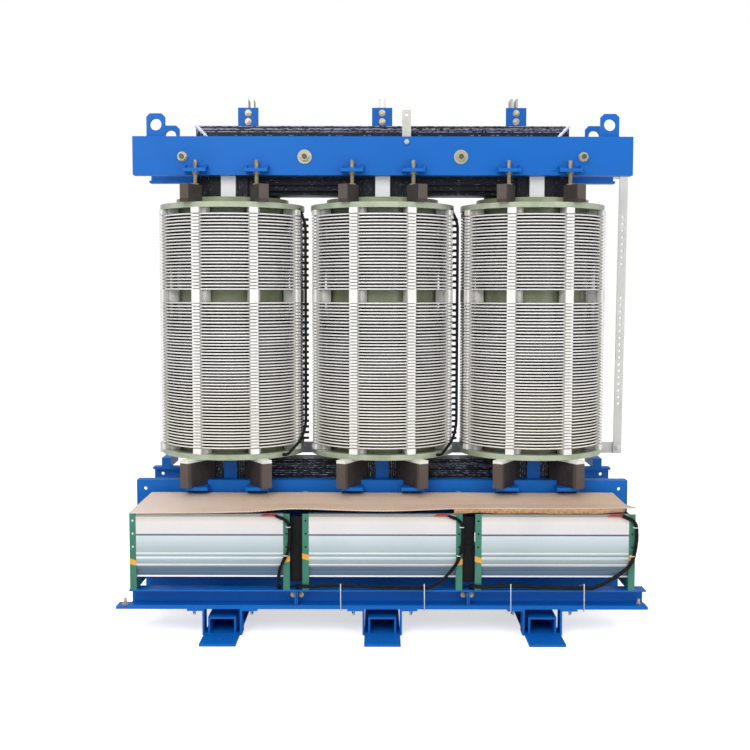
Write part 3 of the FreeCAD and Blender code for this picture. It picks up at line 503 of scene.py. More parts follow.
def makeDiscTree():
    tree, given, out = startGeometry("discStack", [("Centre X", 0.0), ("Bottom", 0.0), ("Pitch", 0.013),
        ("Count", 10), ("Outer Radius", 0.3), ("Depth", 0.05), ("Thickness", 0.007), ("Rounding", 0.002),
        ("Unevenness", 0.0005), ("Seed", 1)])
    middle = minus(given["Outer Radius"], times(given["Depth"], 0.5))
    circle = addShape(tree, "CurvePrimitiveCircle", {"Resolution": 72, "Radius": middle})
    section = addShape(tree, "CurvePrimitiveQuadrilateral",
        {"Width": given["Depth"], "Height": given["Thickness"]})
    rounded = addShape(tree, "FilletCurve", {"Curve": section, "Count": 1, "Radius": given["Rounding"]},
        mode="POLY")
    ring = addShape(tree, "CurveToMesh", {0: circle, "Profile Curve": rounded})
    start = vectorOf(tree, given["Centre X"], 0.0, given["Bottom"])
    step = vectorOf(tree, 0.0, 0.0, given["Pitch"])
    line = lineUp(tree, {"Count": given["Count"], "Start Location": start, "Offset": step})
    less = times(given["Unevenness"], -1.0)
    shift = addNode(tree, "FunctionNodeRandomValue", {2: less, 3: given["Unevenness"], 8: given["Seed"]},
        data_type="FLOAT")
    moved = addShape(tree, "SetPosition",
        {"Geometry": line, "Offset": vectorOf(tree, 0.0, 0.0, shift.outputs[1])})
    size = addNode(tree, "FunctionNodeRandomValue", {2: 0.997, 3: 1.0, 8: plus(given["Seed"], 5.0)},
        data_type="FLOAT")
    placed = setOut({"Points": moved, "Instance": ring, "Scale": vectorOf(tree, size.outputs[1],
        size.outputs[1], 1.0)})
    endGeometry(tree, given, out, placed)
    return tree


discTree = makeDiscTree()
for index, coil in enumerate(coils):
    half = discs["thickness"] / 2
    lowerTop = coil["top"] - (discs["upperCount"] - 1) * discs["widePitch"] - 2 * half - 51 * mm
    wideBottom = lowerTop - half - (discs["wideAbove"] - 1) * discs["widePitch"]
    closePitch = (wideBottom - discs["widePitch"] - coil["bottom"] - half) / (discs["closeCount"] - 1)
    runs = [(coil["bottom"] + half, closePitch, discs["closeCount"]), (wideBottom, discs["widePitch"],
        discs["wideAbove"]), (coil["top"] - half - (discs["upperCount"] - 1) * discs["widePitch"],
        discs["widePitch"], discs["upperCount"])]
    coil["runs"] = runs
    meshes = [grow(discTree, materials["discWrap"], {"Centre X": coil["axis"], "Bottom": bottom,
        "Pitch": pitch, "Count": count, "Outer Radius": coil["radius"], "Depth": discs["depth"],
        "Thickness": discs["thickness"], "Rounding": discs["rounding"], "Unevenness": discs["unevenness"],
        "Seed": 10 * index + part}) for part, (bottom, pitch, count) in enumerate(runs)]
    settle("discs_" + coil["side"], joinMeshes(meshes, materials["discWrap"]),
        ["hv_winding_" + coil["side"]], smooth=50)
print("discs done")


def softened(mesh, width, segments=1, angle=30):
    # the same mesh with its sharp edges eased
    holder = bpy.data.objects.new("holder", mesh)
    scene.collection.objects.link(holder)
    ease = holder.modifiers.new("ease", "BEVEL")
    ease.width, ease.segments = width, segments
    ease.limit_method, ease.angle_limit = "ANGLE", math.radians(angle)
    made = bpy.data.meshes.new_from_object(holder.evaluated_get(bpy.context.evaluated_depsgraph_get()))
    bpy.data.objects.remove(holder)
    return made


# combs that hold the discs apart
combs = {"bars": 8, "backWidth": 25 * mm, "toothWidth": 34 * mm, "depth": 28 * mm, "backDip": 9 * mm,
    "toothShare": 0.66, "capWidth": 36 * mm, "spacerWidth": 26 * mm, "spacerShift": 22 * mm}


def makeCombTree():
    tree, given, out = startGeometry("combStack", [("Centre X", 0.0), ("Bars", 8), ("Radius", 0.3),
        ("Shift", 0.0), ("Bottom", 0.0), ("Pitch", 0.013), ("Teeth", 10), ("Depth", 0.03), ("Width", 0.03),
        ("Height", 0.008)])
    tooth = addShape(tree, "MeshCube",
        {"Size": vectorOf(tree, given["Depth"], given["Width"], given["Height"])})
    line = lineUp(tree, {"Count": given["Teeth"], "Offset": vectorOf(tree, 0.0, 0.0, given["Pitch"])})
    stack = setOut({"Points": line, "Instance": tooth})
    bars = lineUp(tree, {"Count": given["Bars"], "Offset": (0.0, 0.0, 0.0)})
    index = addShape(tree, "InputIndex")
    turn = over(times(plus(index, 0.5), 2 * math.pi), given["Bars"])
    cosine, sine = sums("COSINE", turn), sums("SINE", turn)
    x = minus(times(cosine, given["Radius"]), times(sine, given["Shift"]))
    y = plus(times(sine, given["Radius"]), times(cosine, given["Shift"]))
    place = vectorOf(tree, plus(x, given["Centre X"]), y, given["Bottom"])
    spots = addShape(tree, "SetPosition", {"Geometry": bars, "Position": place})
    placed = setOut({"Points": spots, "Instance": stack, "Rotation": vectorOf(tree, 0.0, 0.0, turn)})
    endGeometry(tree, given, out, placed)
    return tree


combTree = makeCombTree()
innerWall = coils[0]["radius"] - 54 * mm
for coil in coils:
    bottom, top = combLow.z, combHigh.z
    radius = outerComb - combs["depth"] / 2
    common = {"Centre X": coil["axis"], "Bars": combs["bars"], "Depth": combs["depth"], "Radius": radius}
    plain = {"Teeth": 1, "Pitch": 0.0}
    stacks = [dict(common, **plain, Radius=radius - combs["backDip"], Width=combs["backWidth"],
        Bottom=(bottom + top) / 2, Height=top - bottom)]
    for number, (start, pitch, count) in enumerate(coil["runs"]):
        teeth = count if number == 0 else count - 1
        stacks.append(dict(common, Width=combs["toothWidth"], Bottom=start + pitch / 2, Pitch=pitch,
            Teeth=teeth, Height=pitch * combs["toothShare"]))
    midBottom = coil["runs"][1][0] + (discs["wideAbove"] - 1) * discs["widePitch"] + discs["thickness"] / 2
    midTop = coil["runs"][2][0] - discs["thickness"] / 2
    gaps = [(bottom, coil["bottom"]), (midBottom, midTop), (coil["top"], top)]
    for low, high in gaps:
        stacks.append(dict(common, **plain, Width=combs["capWidth"], Bottom=(low + high) / 2,
            Height=high - low + 5 * mm if low == midBottom else high - low))
        reach = outerComb - combs["depth"] - innerWall
        stacks.append({**common, **plain, "Radius": innerWall + reach / 2, "Depth": reach,
            "Width": combs["spacerWidth"] * 1.7, "Shift": combs["spacerShift"] / 2,
            "Bottom": (low + high) / 2, "Height": high - low})
    meshes = [grow(combTree, materials["combTeeth"], values) for values in stacks]
    mesh = softened(joinMeshes(meshes, materials["combTeeth"]), 1.3 * mm)
    settle("combs_" + coil["side"], mesh, ["comb_spacers"])
print("combs done")


# links between neighbouring discs, on the right of each coil and further back on the last
links = {"reach": 27 * mm, "width": 12 * mm, "share": 0.85, "back": [0.0, 0.0, 170 * mm]}
linkMeshes = []
for coil, back in zip(coils, links["back"]):
    beside = math.sqrt(coil["radius"] ** 2 - back ** 2) + links["reach"] / 2 - 3 * mm
    for start, pitch, count in coil["runs"]:
        values = {"Centre X": coil["axis"], "Bars": 1, "Radius": -beside, "Shift": -back,
            "Bottom": start + pitch / 2, "Pitch": 2 * pitch, "Teeth": count // 2, "Depth": links["reach"],
            "Width": links["width"], "Height": links["share"] * pitch}
        linkMeshes.append(grow(combTree, materials["blackBoard"], values))
settle("discLinks", softened(joinMeshes(linkMeshes, materials["blackBoard"]), 1.5 * mm))
print("links done")


# hex bolts with washers, set on points and turned to face one way
def makeBoltTree():
    tree, given, out = startGeometry("hexBolts", [("Head Radius", 0.01), ("Head Height", 0.008),
        ("Washer Radius", 0.014), ("Washer Height", 0.002), ("Stud Radius", 0.006), ("Stud Height", 0.004),
        ("Turn", (0.0, 0.0, 0.0))])
    washer = addShape(tree, "MeshCylinder", {"Vertices": 24, "Radius": given["Washer Radius"],
        "Depth": given["Washer Height"]})
    head = addShape(tree, "MeshCylinder", {"Vertices": 6, "Radius": given["Head Radius"],
        "Depth": given["Head Height"]})
    stud = addShape(tree, "MeshCylinder", {"Vertices": 12, "Radius": given["Stud Radius"],
        "Depth": given["Stud Height"]})
    heights = [times(given["Washer Height"], 0.5)]
    headBase = plus(given["Washer Height"], times(given["Head Height"], 0.5))
    studBase = plus(plus(given["Washer Height"], given["Head Height"]), times(given["Stud Height"], 0.5))
    heights += [headBase, studBase]
    bolt = addShape(tree, "JoinGeometry")
    for shape, height in zip((washer, head, stud), heights):
        raised = addShape(tree, "Transform", {"Geometry": shape, "Translation": vectorOf(tree, 0.0, 0.0,
            height)})
        link(raised, bolt.inputs[0])
    placed = setOut({"Points": given["Geometry"], "Instance": bolt, "Rotation": given["Turn"]})
    endGeometry(tree, given, out, placed)
    return tree


boltTree = makeBoltTree()
facing = {"front": (math.radians(90), 0.0, 0.0), "rear": (math.radians(-90), 0.0, 0.0),
    "up": (0.0, 0.0, 0.0), "down": (math.pi, 0.0, 0.0)}


def boltMesh(points, way, size, material="yellowZinc", long=0.0):
    # size is the thread's radius
    return grow(boltTree, materials[material], {"Head Radius": 1.75 * size, "Head Height": 1.3 * size,
        "Washer Radius": 2.3 * size, "Washer Height": 0.3 * size, "Stud Radius": size,
        "Stud Height": long or 0.8 * size, "Turn": facing[way]}, pointMesh(points))


# beads of weld and of sealant along a line
def makeBeadTree():
    tree, given, out = startGeometry("beadRun", [("Radius", 0.004), ("Spacing", 0.004), ("Unevenness", 0.3),
        ("Seed", 3)])
    curve = addShape(tree, "MeshToCurve", {0: given["Geometry"]})
    spots = addShape(tree, "CurveToPoints", {"Curve": curve, "Length": given["Spacing"]}, mode="LENGTH")
    ball = addShape(tree, "MeshIcoSphere", {"Radius": given["Radius"], "Subdivisions": 1})
    small = minus(1.0, given["Unevenness"])
    size = addNode(tree, "FunctionNodeRandomValue", {2: small, 3: 1.15, 8: given["Seed"]}, data_type="FLOAT")
    placed = setOut({"Points": spots, "Instance": ball, "Scale": size.outputs[1]})
    endGeometry(tree, given, out, placed)
    return tree


beadTree = makeBeadTree()


def lineMesh(points, closed=False):
    mesh = bpy.data.meshes.new("line")
    edges = [(i, i + 1) for i in range(len(points) - 1)]
    if closed:
        edges.append((len(points) - 1, 0))
    mesh.from_pydata([tuple(p) for p in points], edges, [])
    return mesh


def beadMesh(points, radius, material, seed=3):
    return grow(beadTree, materials[material], {"Radius": radius, "Spacing": radius * 0.9,
        "Unevenness": 0.35, "Seed": seed}, lineMesh(points))


# round wires along a line
def makeWireTree():
    tree, given, out = startGeometry("wireRun", [("Radius", 0.003), ("Sides", 10)])
    curve = addShape(tree, "MeshToCurve", {0: given["Geometry"]})
    section = addShape(tree, "CurvePrimitiveCircle", {"Resolution": given["Sides"],
        "Radius": given["Radius"]})
    swept = addShape(tree, "CurveToMesh", {0: curve, "Profile Curve": section, "Fill Caps": True})
    endGeometry(tree, given, out, swept)
    return tree


wireTree = makeWireTree()


def smoothLine(points, steps=8):
    # a smooth line through the points
    knots = [Vector(p) for p in points]
    knots = [knots[0] * 2 - knots[1]] + knots + [knots[-1] * 2 - knots[-2]]
    line = []
    for a, b, c, d in zip(knots, knots[1:], knots[2:], knots[3:]):
        for step in range(steps):
            t = step / steps
            line.append(0.5 * (2 * b + (c - a) * t + (2 * a - 5 * b + 4 * c - d) * t * t
                + (3 * b - a - 3 * c + d) * t ** 3))
    return line + [knots[-2]]


def wireMesh(points, radius, material, sides=10, closed=False):
    return grow(wireTree, materials[material], {"Radius": radius, "Sides": sides}, lineMesh(points, closed))


def strandMeshes(points, bundleRadius, strandRadius, count, material, turns=2.5, seed=0):
    # several wires laid together, each wandering slowly round the bundle's line
    line = smoothLine(points)
    meshes = []
    for strand in range(count):
        path = []
        for i, spot in enumerate(line):
            ahead = (line[min(i + 1, len(line) - 1)] - line[max(i - 1, 0)]).normalized()
            sideways = ahead.cross(Vector((0.31, 0.9, 0.27))).normalized()
            turn = 2 * math.pi * (strand / count + turns * i / len(line)) + 0.6 * noise.noise(spot * 6
                + Vector((seed, 0, strand)))
            reach = bundleRadius - strandRadius
            path.append(spot + reach * (sideways * math.cos(turn) + ahead.cross(sideways) * math.sin(turn)))
        meshes.append(wireMesh(path, strandRadius, material, sides=8))
    return meshes


def boxForm(form, low, high):
    corners = bmesh.ops.create_cube(form, size=1.0)["verts"]
    low, high = Vector(low), Vector(high)
    for corner in corners:
        corner.co = Vector([(a + b) / 2 + c * (b - a) for a, b, c in zip(low, high, corner.co)])


def boxesMesh(boxes, material, ease=0.6 * mm):
    form = bmesh.new()
    for low, high in boxes:
        boxForm(form, low, high)
    return softened(tidyMesh(form, materials[material]), ease)


# rows of places that several pieces share
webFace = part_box("support_posts")[0].y
bracketLow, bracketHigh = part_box("terminal_brackets")
railLow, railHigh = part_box("base_rail_front")
plateLow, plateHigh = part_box("fan_plates_front")
fan = {"length": 0.637, "gap": 0.050, "flange": 0.026}
fanPitch = fan["length"] + fan["gap"]
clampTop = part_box("tie_plates")[1].z
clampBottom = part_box("tie_sleeves")[1].z
wayOf = {-1: "front", 1: "rear"}

# small fasteners, measured from the edges of the sheets that they hold
fasteners = {"bracketSides": 92 * mm, "bracketWall": 10 * mm, "drops": (0.024, 0.062), "railEnd": 30 * mm,
    "railInset": 35 * mm, "railDrop": 68 * mm, "hangerReach": 115 * mm, "hangerDepth": 415 * mm,
    "hangerDrop": 9.5 * mm, "jointInset": 60 * mm, "jointDrop": 34 * mm, "jointSpread": 16 * mm}
bracketSpan = bracketHigh.x - bracketLow.x - fasteners["bracketSides"]
bracketXs = [(bracketLow.x + bracketHigh.x + step * bracketSpan) / 2 for step in (-1, 0, 1)]
spots = [(x, bracketHigh.y - fasteners["bracketWall"], bracketHigh.z - drop) for x in bracketXs
    for drop in fasteners["drops"]]
settle("terminalBolts", boltMesh(spots, "front", 6.5 * mm), smooth=40)
hangLow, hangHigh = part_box("foot_hangers")
footAxes = [sum(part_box("foot_" + side), Vector()).x / 2 for side in fanEnds]
jointXs = (-fanPitch / 2, fanPitch / 2)
railBolts, underBolts, jointBolts = [], [], []
for sign in (-1, 1):
    y = sign * (abs(railLow.y) - fasteners["railInset"])
    spots = [(x, y, railHigh.z - fasteners["railDrop"]) for x in (railLow.x + fasteners["railEnd"],
        railHigh.x - fasteners["railEnd"])]
    railBolts.append(boltMesh(spots, "up", 6 * mm, long=16 * mm))
    spots = [(x + way * fasteners["hangerReach"], sign * fasteners["hangerDepth"],
        hangHigh.z - fasteners["hangerDrop"]) for x in footAxes for way in (-1, 1)]
    underBolts.append(boltMesh(spots, "down", 5 * mm, long=14 * mm))
    y = sign * (abs(railLow.y) - fasteners["jointInset"])
    spots = [(x + way * fasteners["jointSpread"], y, railHigh.z - fasteners["jointDrop"]) for x in jointXs
        for way in (-1, 1)]
    jointBolts.append(boltMesh(spots, wayOf[sign], 5 * mm))
settle("railBolts", joinMeshes(railBolts + underBolts, materials["yellowZinc"]), smooth=40)
settle("jointBolts", joinMeshes(jointBolts, materials["yellowZinc"]), smooth=40)

# rail splices: pairs of thin plates across the rails
splice = {"depth": 63 * mm, "offsets": (-0.006, 0.001), "width": 5 * mm, "play": 2 * mm, "low": 61 * mm,
    "high": 7 * mm}
splices = []
for sign in (-1, 1):
    near, far = sorted((sign * abs(railLow.y), sign * (abs(railLow.y) - splice["depth"])))
    near, far = near + splice["play"] * (sign < 0), far - splice["play"] * (sign > 0)
    for left in [x + offset for x in jointXs for offset in splice["offsets"]]:
        splices.append(((left, near, railHigh.z - splice["low"]), (left + splice["width"], far,
            railHigh.z - splice["high"])))
settle("railSplices", boxesMesh(splices, "bluePaint"))

# beads
yokeLow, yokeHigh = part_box("core_upper_yoke")
mitre = {"radius": 8.0 * mm, "faces": [(0.0635, 0.002), (0.0935, 0.021), (0.1155, 0.043)], "end": 0.067}
mitreBeads = []
for sign in (-1, 1):
    for end in (-1, 1):
        line = []
        drops = [drop for reach, drop in mitre["faces"]] + [mitre["end"]]
        for (reach, drop), nextDrop in zip(mitre["faces"], drops[1:]):
            for down in (drop, nextDrop):
                line.append((end * (abs(yokeLow.x) - down), sign * reach, yokeHigh.z - down))
        mitreBeads.append(beadMesh(line, mitre["radius"], "whiteBead", seed=4 + end))
settle("mitreBeads", joinMeshes(mitreBeads, materials["whiteBead"]), smooth=60)
lugLow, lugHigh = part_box("lifting_lugs")
weld = {"lugHalf": 38 * mm, "proud": 1.5 * mm, "ledgeX": 125 * mm, "ledgeHalf": 44 * mm,
    "levels": (0.024, 0.010), "gussetX": 46.5 * mm, "gussetTop": 40 * mm, "gussetRun": (0, 0.040, -0.013)}
welds = []
for sign in (-1, 1):
    for end in (-1, 1):
        x = end * (lugHigh.x - weld["lugHalf"])
        place = (sign * (abs(lugLow.y) + weld["proud"]), clampTop + weld["proud"])
        welds.append(beadMesh([(x + way * weld["lugHalf"], *place) for way in (-1, 1)], 3.6 * mm,
            "bluePaint", seed=9 + end))
    for x in [coil["axis"] + way * weld["ledgeX"] for coil in coils for way in (-1, 1)]:
        for level in weld["levels"]:
            place = (sign * (abs(webFace) + 1 * mm), clampBottom + level)
            welds.append(beadMesh([(x + way * weld["ledgeHalf"], *place) for way in (-1, 1)], 2.6 * mm,
                "bluePaint"))
        gusset = Vector((x + weld["gussetX"], sign * abs(webFace), clampBottom + weld["gussetTop"]))
        run = Vector(weld["gussetRun"]) * Vector((1, sign, 1))
        welds.append(beadMesh([gusset, gusset + run], 4.0 * mm, "bluePaint"))
settle("weldBeads", joinMeshes(welds, materials["bluePaint"]), smooth=60)
print("fasteners and beads done")


# perforated board and its fasteners
board = {"holeRadius": 6.0 * mm, "holePitch": 30.4 * mm, "upperTop": 1.711, "upperCount": 8,
    "lowerTop": 1.343, "lowerCount": 17, "lean": 11 * mm}


def makeBoardTree():
    tree, given, out = startGeometry("perforatedBoard",
        [("Low Corner", (0, 0, 0)), ("High Corner", (0, 0, 0)), ("Hole Radius", 0.006), ("Lean", 0.0)])
    size = addNode(tree, "ShaderNodeVectorMath", {0: given["High Corner"], 1: given["Low Corner"]},
        operation="SUBTRACT")
    middle = addNode(tree, "ShaderNodeVectorMath", {0: given["High Corner"], 1: given["Low Corner"]},
        operation="ADD")
    halfway = addNode(tree, "ShaderNodeVectorMath", {0: middle, 1: (0.5, 0.5, 0.5)}, operation="MULTIPLY")
    plank = addShape(tree, "MeshCube", {"Size": size})
    moved = addShape(tree, "Transform", {"Geometry": plank, "Translation": halfway})
    drill = addShape(tree, "MeshCylinder", {"Vertices": 20, "Radius": given["Hole Radius"], "Depth": 0.1})
    drills = setOut({"Points": given["Geometry"], "Instance": drill, "Rotation": (math.pi / 2, 0.0, 0.0)})
    solid = addShape(tree, "RealizeInstances", {0: drills})
    drilled = addShape(tree, "MeshBoolean", {"Mesh 1": moved}, operation="DIFFERENCE")
    link(solid, drilled.inputs["Mesh 2"])
    corners = (addShape(tree, "InputPosition"), given["Low Corner"], given["High Corner"])
    height, bottom, top = (addNode(tree, "ShaderNodeSeparateXYZ", {0: spot}).outputs[2] for spot in corners)
    shift = ranged(height, bottom, top, 0.0, given["Lean"])
    leaned = addShape(tree, "SetPosition", {"Geometry": drilled, "Offset": vectorOf(tree, shift)})
    endGeometry(tree, given, out, leaned)
    return tree


boardLow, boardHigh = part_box("perforated_board")
boardHigh.x -= board["lean"]
boardX, boardY = (boardLow.x + boardHigh.x) / 2, (boardLow.y + boardHigh.y) / 2
holes = [(boardX, boardY, board["upperTop"] - i * board["holePitch"]) for i in range(board["upperCount"])]
holes += [(boardX, boardY, board["lowerTop"] - i * board["holePitch"]) for i in range(board["lowerCount"])]
boardMesh = grow(makeBoardTree(), materials["whiteBoard"], {"Low Corner": boardLow, "High Corner": boardHigh,
    "Hole Radius": board["holeRadius"], "Lean": board["lean"]}, pointMesh(holes))
settle("perforatedBoard", boardMesh, ["perforated_board"])
settle("boardBolts",
    boltMesh([(boardX, boardLow.y, boardLow.z + 0.025), (boardX + 0.96 * board["lean"], boardLow.y,
    boardHigh.z - 0.065)], "front", 5.5 * mm, "whiteNylon"), smooth=40)


# cross-flow rotors
rotorFins = {"blades": 26, "discs": 7, "bladeDepth": 13 * mm, "bladeThickness": 1.2 * mm}


def makeRotorTree():
    tree, given, out = startGeometry("crossFlowRotor", [("Start", (0, 0, 0)), ("Length", 0.6),
        ("Radius", 0.07), ("Blades", 26), ("Discs", 7), ("Blade Depth", 0.012), ("Blade Thickness", 0.001)])
    blade = addShape(tree, "MeshCube", {"Size": vectorOf(tree, given["Length"], given["Blade Depth"],
        given["Blade Thickness"])})
    spots = lineUp(tree, {"Count": given["Blades"], "Offset": (0.0, 0.0, 0.0)})
    index = addShape(tree, "InputIndex")
    turn = over(times(index, 2 * math.pi), given["Blades"])
    reach = minus(given["Radius"], times(given["Blade Depth"], 0.5))
    place = vectorOf(tree, 0.0, times(sums("COSINE", turn), reach), times(sums("SINE", turn), reach))
    ringed = addShape(tree, "SetPosition", {"Geometry": spots, "Position": place})
    lean = vectorOf(tree, plus(turn, 0.6), 0.0, 0.0)
    blades = setOut({"Points": ringed, "Instance": blade, "Rotation": lean})
    plate = addShape(tree, "MeshCylinder", {"Vertices": 40, "Radius": given["Radius"], "Depth": 0.0015})
    gap = over(given["Length"], minus(given["Discs"], 1.0))
    back = times(given["Length"], -0.5)
    row = lineUp(tree, {"Count": given["Discs"], "Start Location": vectorOf(tree, back),
        "Offset": vectorOf(tree, gap)})
    plates = setOut({"Points": row, "Instance": plate, "Rotation": (0.0, math.pi / 2, 0.0)})
    shaft = addShape(tree, "MeshCylinder", {"Vertices": 12, "Radius": 0.008, "Depth": given["Length"]})
    laid = addShape(tree, "Transform", {"Geometry": shaft, "Rotation": (0.0, math.pi / 2, 0.0)})
    joined = addShape(tree, "JoinGeometry")
    for part in (laid, plates, blades):
        link(part, joined.inputs[0])
    moved = addShape(tree, "Transform", {"Geometry": joined, "Translation": given["Start"]})
    endGeometry(tree, given, out, moved)
    return tree


rotorTree = makeRotorTree()
for name in ("front", "rear"):
    low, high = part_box("fan_rotors_" + name)
    radius = (high.z - low.z) / 2
    length = fan["length"] - 2 * fan["flange"] - 2 * mm
    meshes = [grow(rotorTree, materials["galvanised"],
        {"Start": (step * fanPitch, (low.y + high.y) / 2, (low.z + high.z) / 2), "Length": length,
        "Radius": radius, "Blades": rotorFins["blades"], "Discs": rotorFins["discs"],
        "Blade Depth": rotorFins["bladeDepth"], "Blade Thickness": rotorFins["bladeThickness"]})
        for step in (-1, 0, 1)]
    settle("rotors_" + name, joinMeshes(meshes, materials["galvanised"]),
        ["fan_rotors_" + name])


# motors: a ribbed can with a domed cap, as shares of its length and radius
motorCan = {"ribs": 18, "ribHeight": 3 * mm, "ribsBetween": (0.03, 0.64), "length": 34 * mm,
    "profile": [(0.0, 0.60), (0.0, 0.94), (0.06, 1.0), (0.62, 1.0), (0.66, 0.9), (0.80, 0.86), (0.93, 0.7),
    (1.0, 0.42), (1.0, 0.12)]}


def motorMesh(start, end, y, z, radius, material):
    form = bmesh.new()
    count = 2 * motorCan["ribs"]
    ribStart, ribEnd = motorCan["ribsBetween"]
    rings = []
    for along, share in motorCan["profile"]:
        ring = []
        for k in range(count):
            turn = 2 * math.pi * k / count
            dip = motorCan["ribHeight"] if (k % 2 and ribStart < along < ribEnd) else 0.0
            reach = share * radius - dip
            ring.append(form.verts.new((start + along * (end - start), y + reach * math.cos(turn),
                z + reach * math.sin(turn))))
        rings.append(ring)
    for first, second in zip(rings, rings[1:]):
        for k in range(count):
            form.faces.new((first[k], first[(k + 1) % count], second[(k + 1) % count], second[k]))
    form.faces.new(rings[0])
    form.faces.new(rings[-1])
    return tidyMesh(form, materials[material])


for name in ("front", "rear"):
    low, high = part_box("fan_motors_" + name)
    y, z, radius = (low.y + high.y) / 2, (low.z + high.z) / 2, (high.z - low.z) / 2
    length = motorCan["length"]
    for side, step in zip(fanEnds, (-1, 0, 1)):
        start = high.x - length + (step - 1) * fanPitch
        mesh = motorMesh(start, start + length, y, z, radius, "blackPlastic")
        settle("motor_" + name + "_" + side, mesh, ["fan_motors_" + name], smooth=40)

# dark folded covers over the motors, between the fans; they also fill the gaps with dark sheet that stands
# for the shade in them
shield = {"inset": 26 * mm, "depth": 60 * mm, "fold": 7 * mm, "sheet": 1.5 * mm, "margin": 12 * mm,
    "rib": (0.10, 0.15), "ribProud": 3 * mm, "play": 0.6 * mm, "above": 30 * mm, "below": 14 * mm}


def shieldBoxes(left, right, face, sign, low, high):
    near = face - sign * shield["inset"]
    far = near - sign * shield["depth"]
    sheet, margin = shield["sheet"], shield["margin"]
    boxes = [((left, near, low), (right, near - sign * sheet, high))]
    for level in (low, high - sheet):
        boxes.append(((left, near, level), (right, far, level + sheet)))
    for edge, inner in ((left, left + sheet), (right, right - sheet)):
        boxes.append(((edge, near, low), (inner, far, high)))
        boxes.append(((edge, near + sign * shield["fold"], low + margin), (inner, near, high - margin)))
    ribLow, ribHigh = shield["rib"]
    boxes.append(((left + margin, near + sign * shield["ribProud"], low + ribLow),
        (right - margin, near, low + ribHigh)))
    return [tuple(zip(*[sorted(pair) for pair in zip(*box)])) for box in boxes]


for sign, name in ((-1, "front"), (1, "rear")):
    boxes = []
    half = fan["gap"] / 2 - shield["play"]
    for middle in jointXs:
        boxes += shieldBoxes(middle - half, middle + half, sign * abs(plateLow.y), sign,
            plateLow.z + shield["above"], plateHigh.z - shield["below"])
    settle("motorShieldsGapShade_" + name, boxesMesh(boxes, "blackPlastic", 0.4 * mm))

# tape and rivets on the fan plates
tape = {"proud": 0.6 * mm, "deep": 4.5 * mm, "lean": 4 * mm, "level": 0.285, "step": 11 * mm,
    "width": 22 * mm}
rivet = {"heights": (0.463, 0.411, 0.358), "head": 3.2 * mm, "headHeight": 0.9 * mm, "flange": 3.9 * mm,
    "flangeHeight": 0.5 * mm, "pin": 1.4 * mm, "pinHeight": 0.2 * mm}
flanges = []
for outer, way in [(step * fanPitch + way * fan["length"] / 2, way) for step in (-1, 0, 1)
        for way in (-1, 1)]:
    flanges.append(sorted((outer, outer - way * fan["flange"])))
for sign, name in ((-1, "front"), (1, "rear")):
    face = sign * abs(plateLow.y)
    form = bmesh.new()
    for index, (left, right) in enumerate(flanges):
        lean = tape["lean"] * (1 if index % 2 else -1)
        low = tape["level"] + tape["step"] * (index % 3)
        left, right = left - tape["proud"], right + tape["proud"]
        outline = [(left, low - lean), (right, low + lean), (right, low + tape["width"] + lean),
            (left, low + tape["width"] - lean)]
        ahead = [form.verts.new((x, face + sign * tape["proud"], z)) for x, z in outline]
        behind = [form.verts.new((x, face - sign * tape["deep"], z)) for x, z in outline]
        form.faces.new(ahead)
        form.faces.new(behind)
        for k in range(4):
            form.faces.new((ahead[k], ahead[(k + 1) % 4], behind[(k + 1) % 4], behind[k]))
    settle("fanTapes_" + name, tidyMesh(form, materials["orangeTape"]))
    for group, finishName, slotName, kind in ((flanges[:1], "whiteNylon", "white_insulation", "Pale"),
            (flanges[1:], "blackPlastic", "motor_black", "Dark")):
        rivets = [((left + right) / 2, face, height) for left, right in group for height in rivet["heights"]]
        values = {"Head Radius": rivet["head"], "Head Height": rivet["headHeight"],
            "Washer Radius": rivet["flange"], "Washer Height": rivet["flangeHeight"],
            "Stud Radius": rivet["pin"], "Stud Height": rivet["pinHeight"], "Turn": facing[name]}
        rivetMesh = grow(boltTree, materials[finishName], values, pointMesh(rivets))
        settle("fanRivets" + kind + "_" + name, rivetMesh)
print("fans done")


# cable bundles at the front fans: routes as in the CAD, each of several wires
cables = {"strand": 2.9 * mm, "bundle": 7.0 * mm, "main": 8.0 * mm, "ahead": 5.0 * mm,
    "falls": [(-0.044, 0.003), (0.008, 0.038), (0.008, 0.140), (-0.024, 0.215)],
    "runs": (0.15, 0.4, 0.7, 0.9), "end": [(0.006, 0.016), (0.022, 0.004)], "reds": [(-0.046, 0.008, 0.002),
    (-0.024, 0.0, 0.005), (-0.002, -0.002, 0.003), (0.022, 0.004, -0.010)], "redSteps": [(-0.006, -0.003),
    (0.0, -0.003), (0.0, -0.003), (0.0, -0.004)]}
railTop = railHigh.z
fanTop = plateHigh.z


def cableRoute(drop, edge, end, radius):
    front = plateLow.y - cables["ahead"] - radius
    low = railTop + 0.020
    route = [(edge + aside, front, fanTop - fall) for aside, fall in cables["falls"]] + [(drop, front, low)]
    if end != drop:
        span = drop - end
        route += [(drop - span * share, front, low - 0.004 * math.sin(7 * share) - 0.003)
            for share in cables["runs"]]
    return route + [(end + 0.004, plateLow.y + inwards, railTop + up) for inwards, up in cables["end"]]


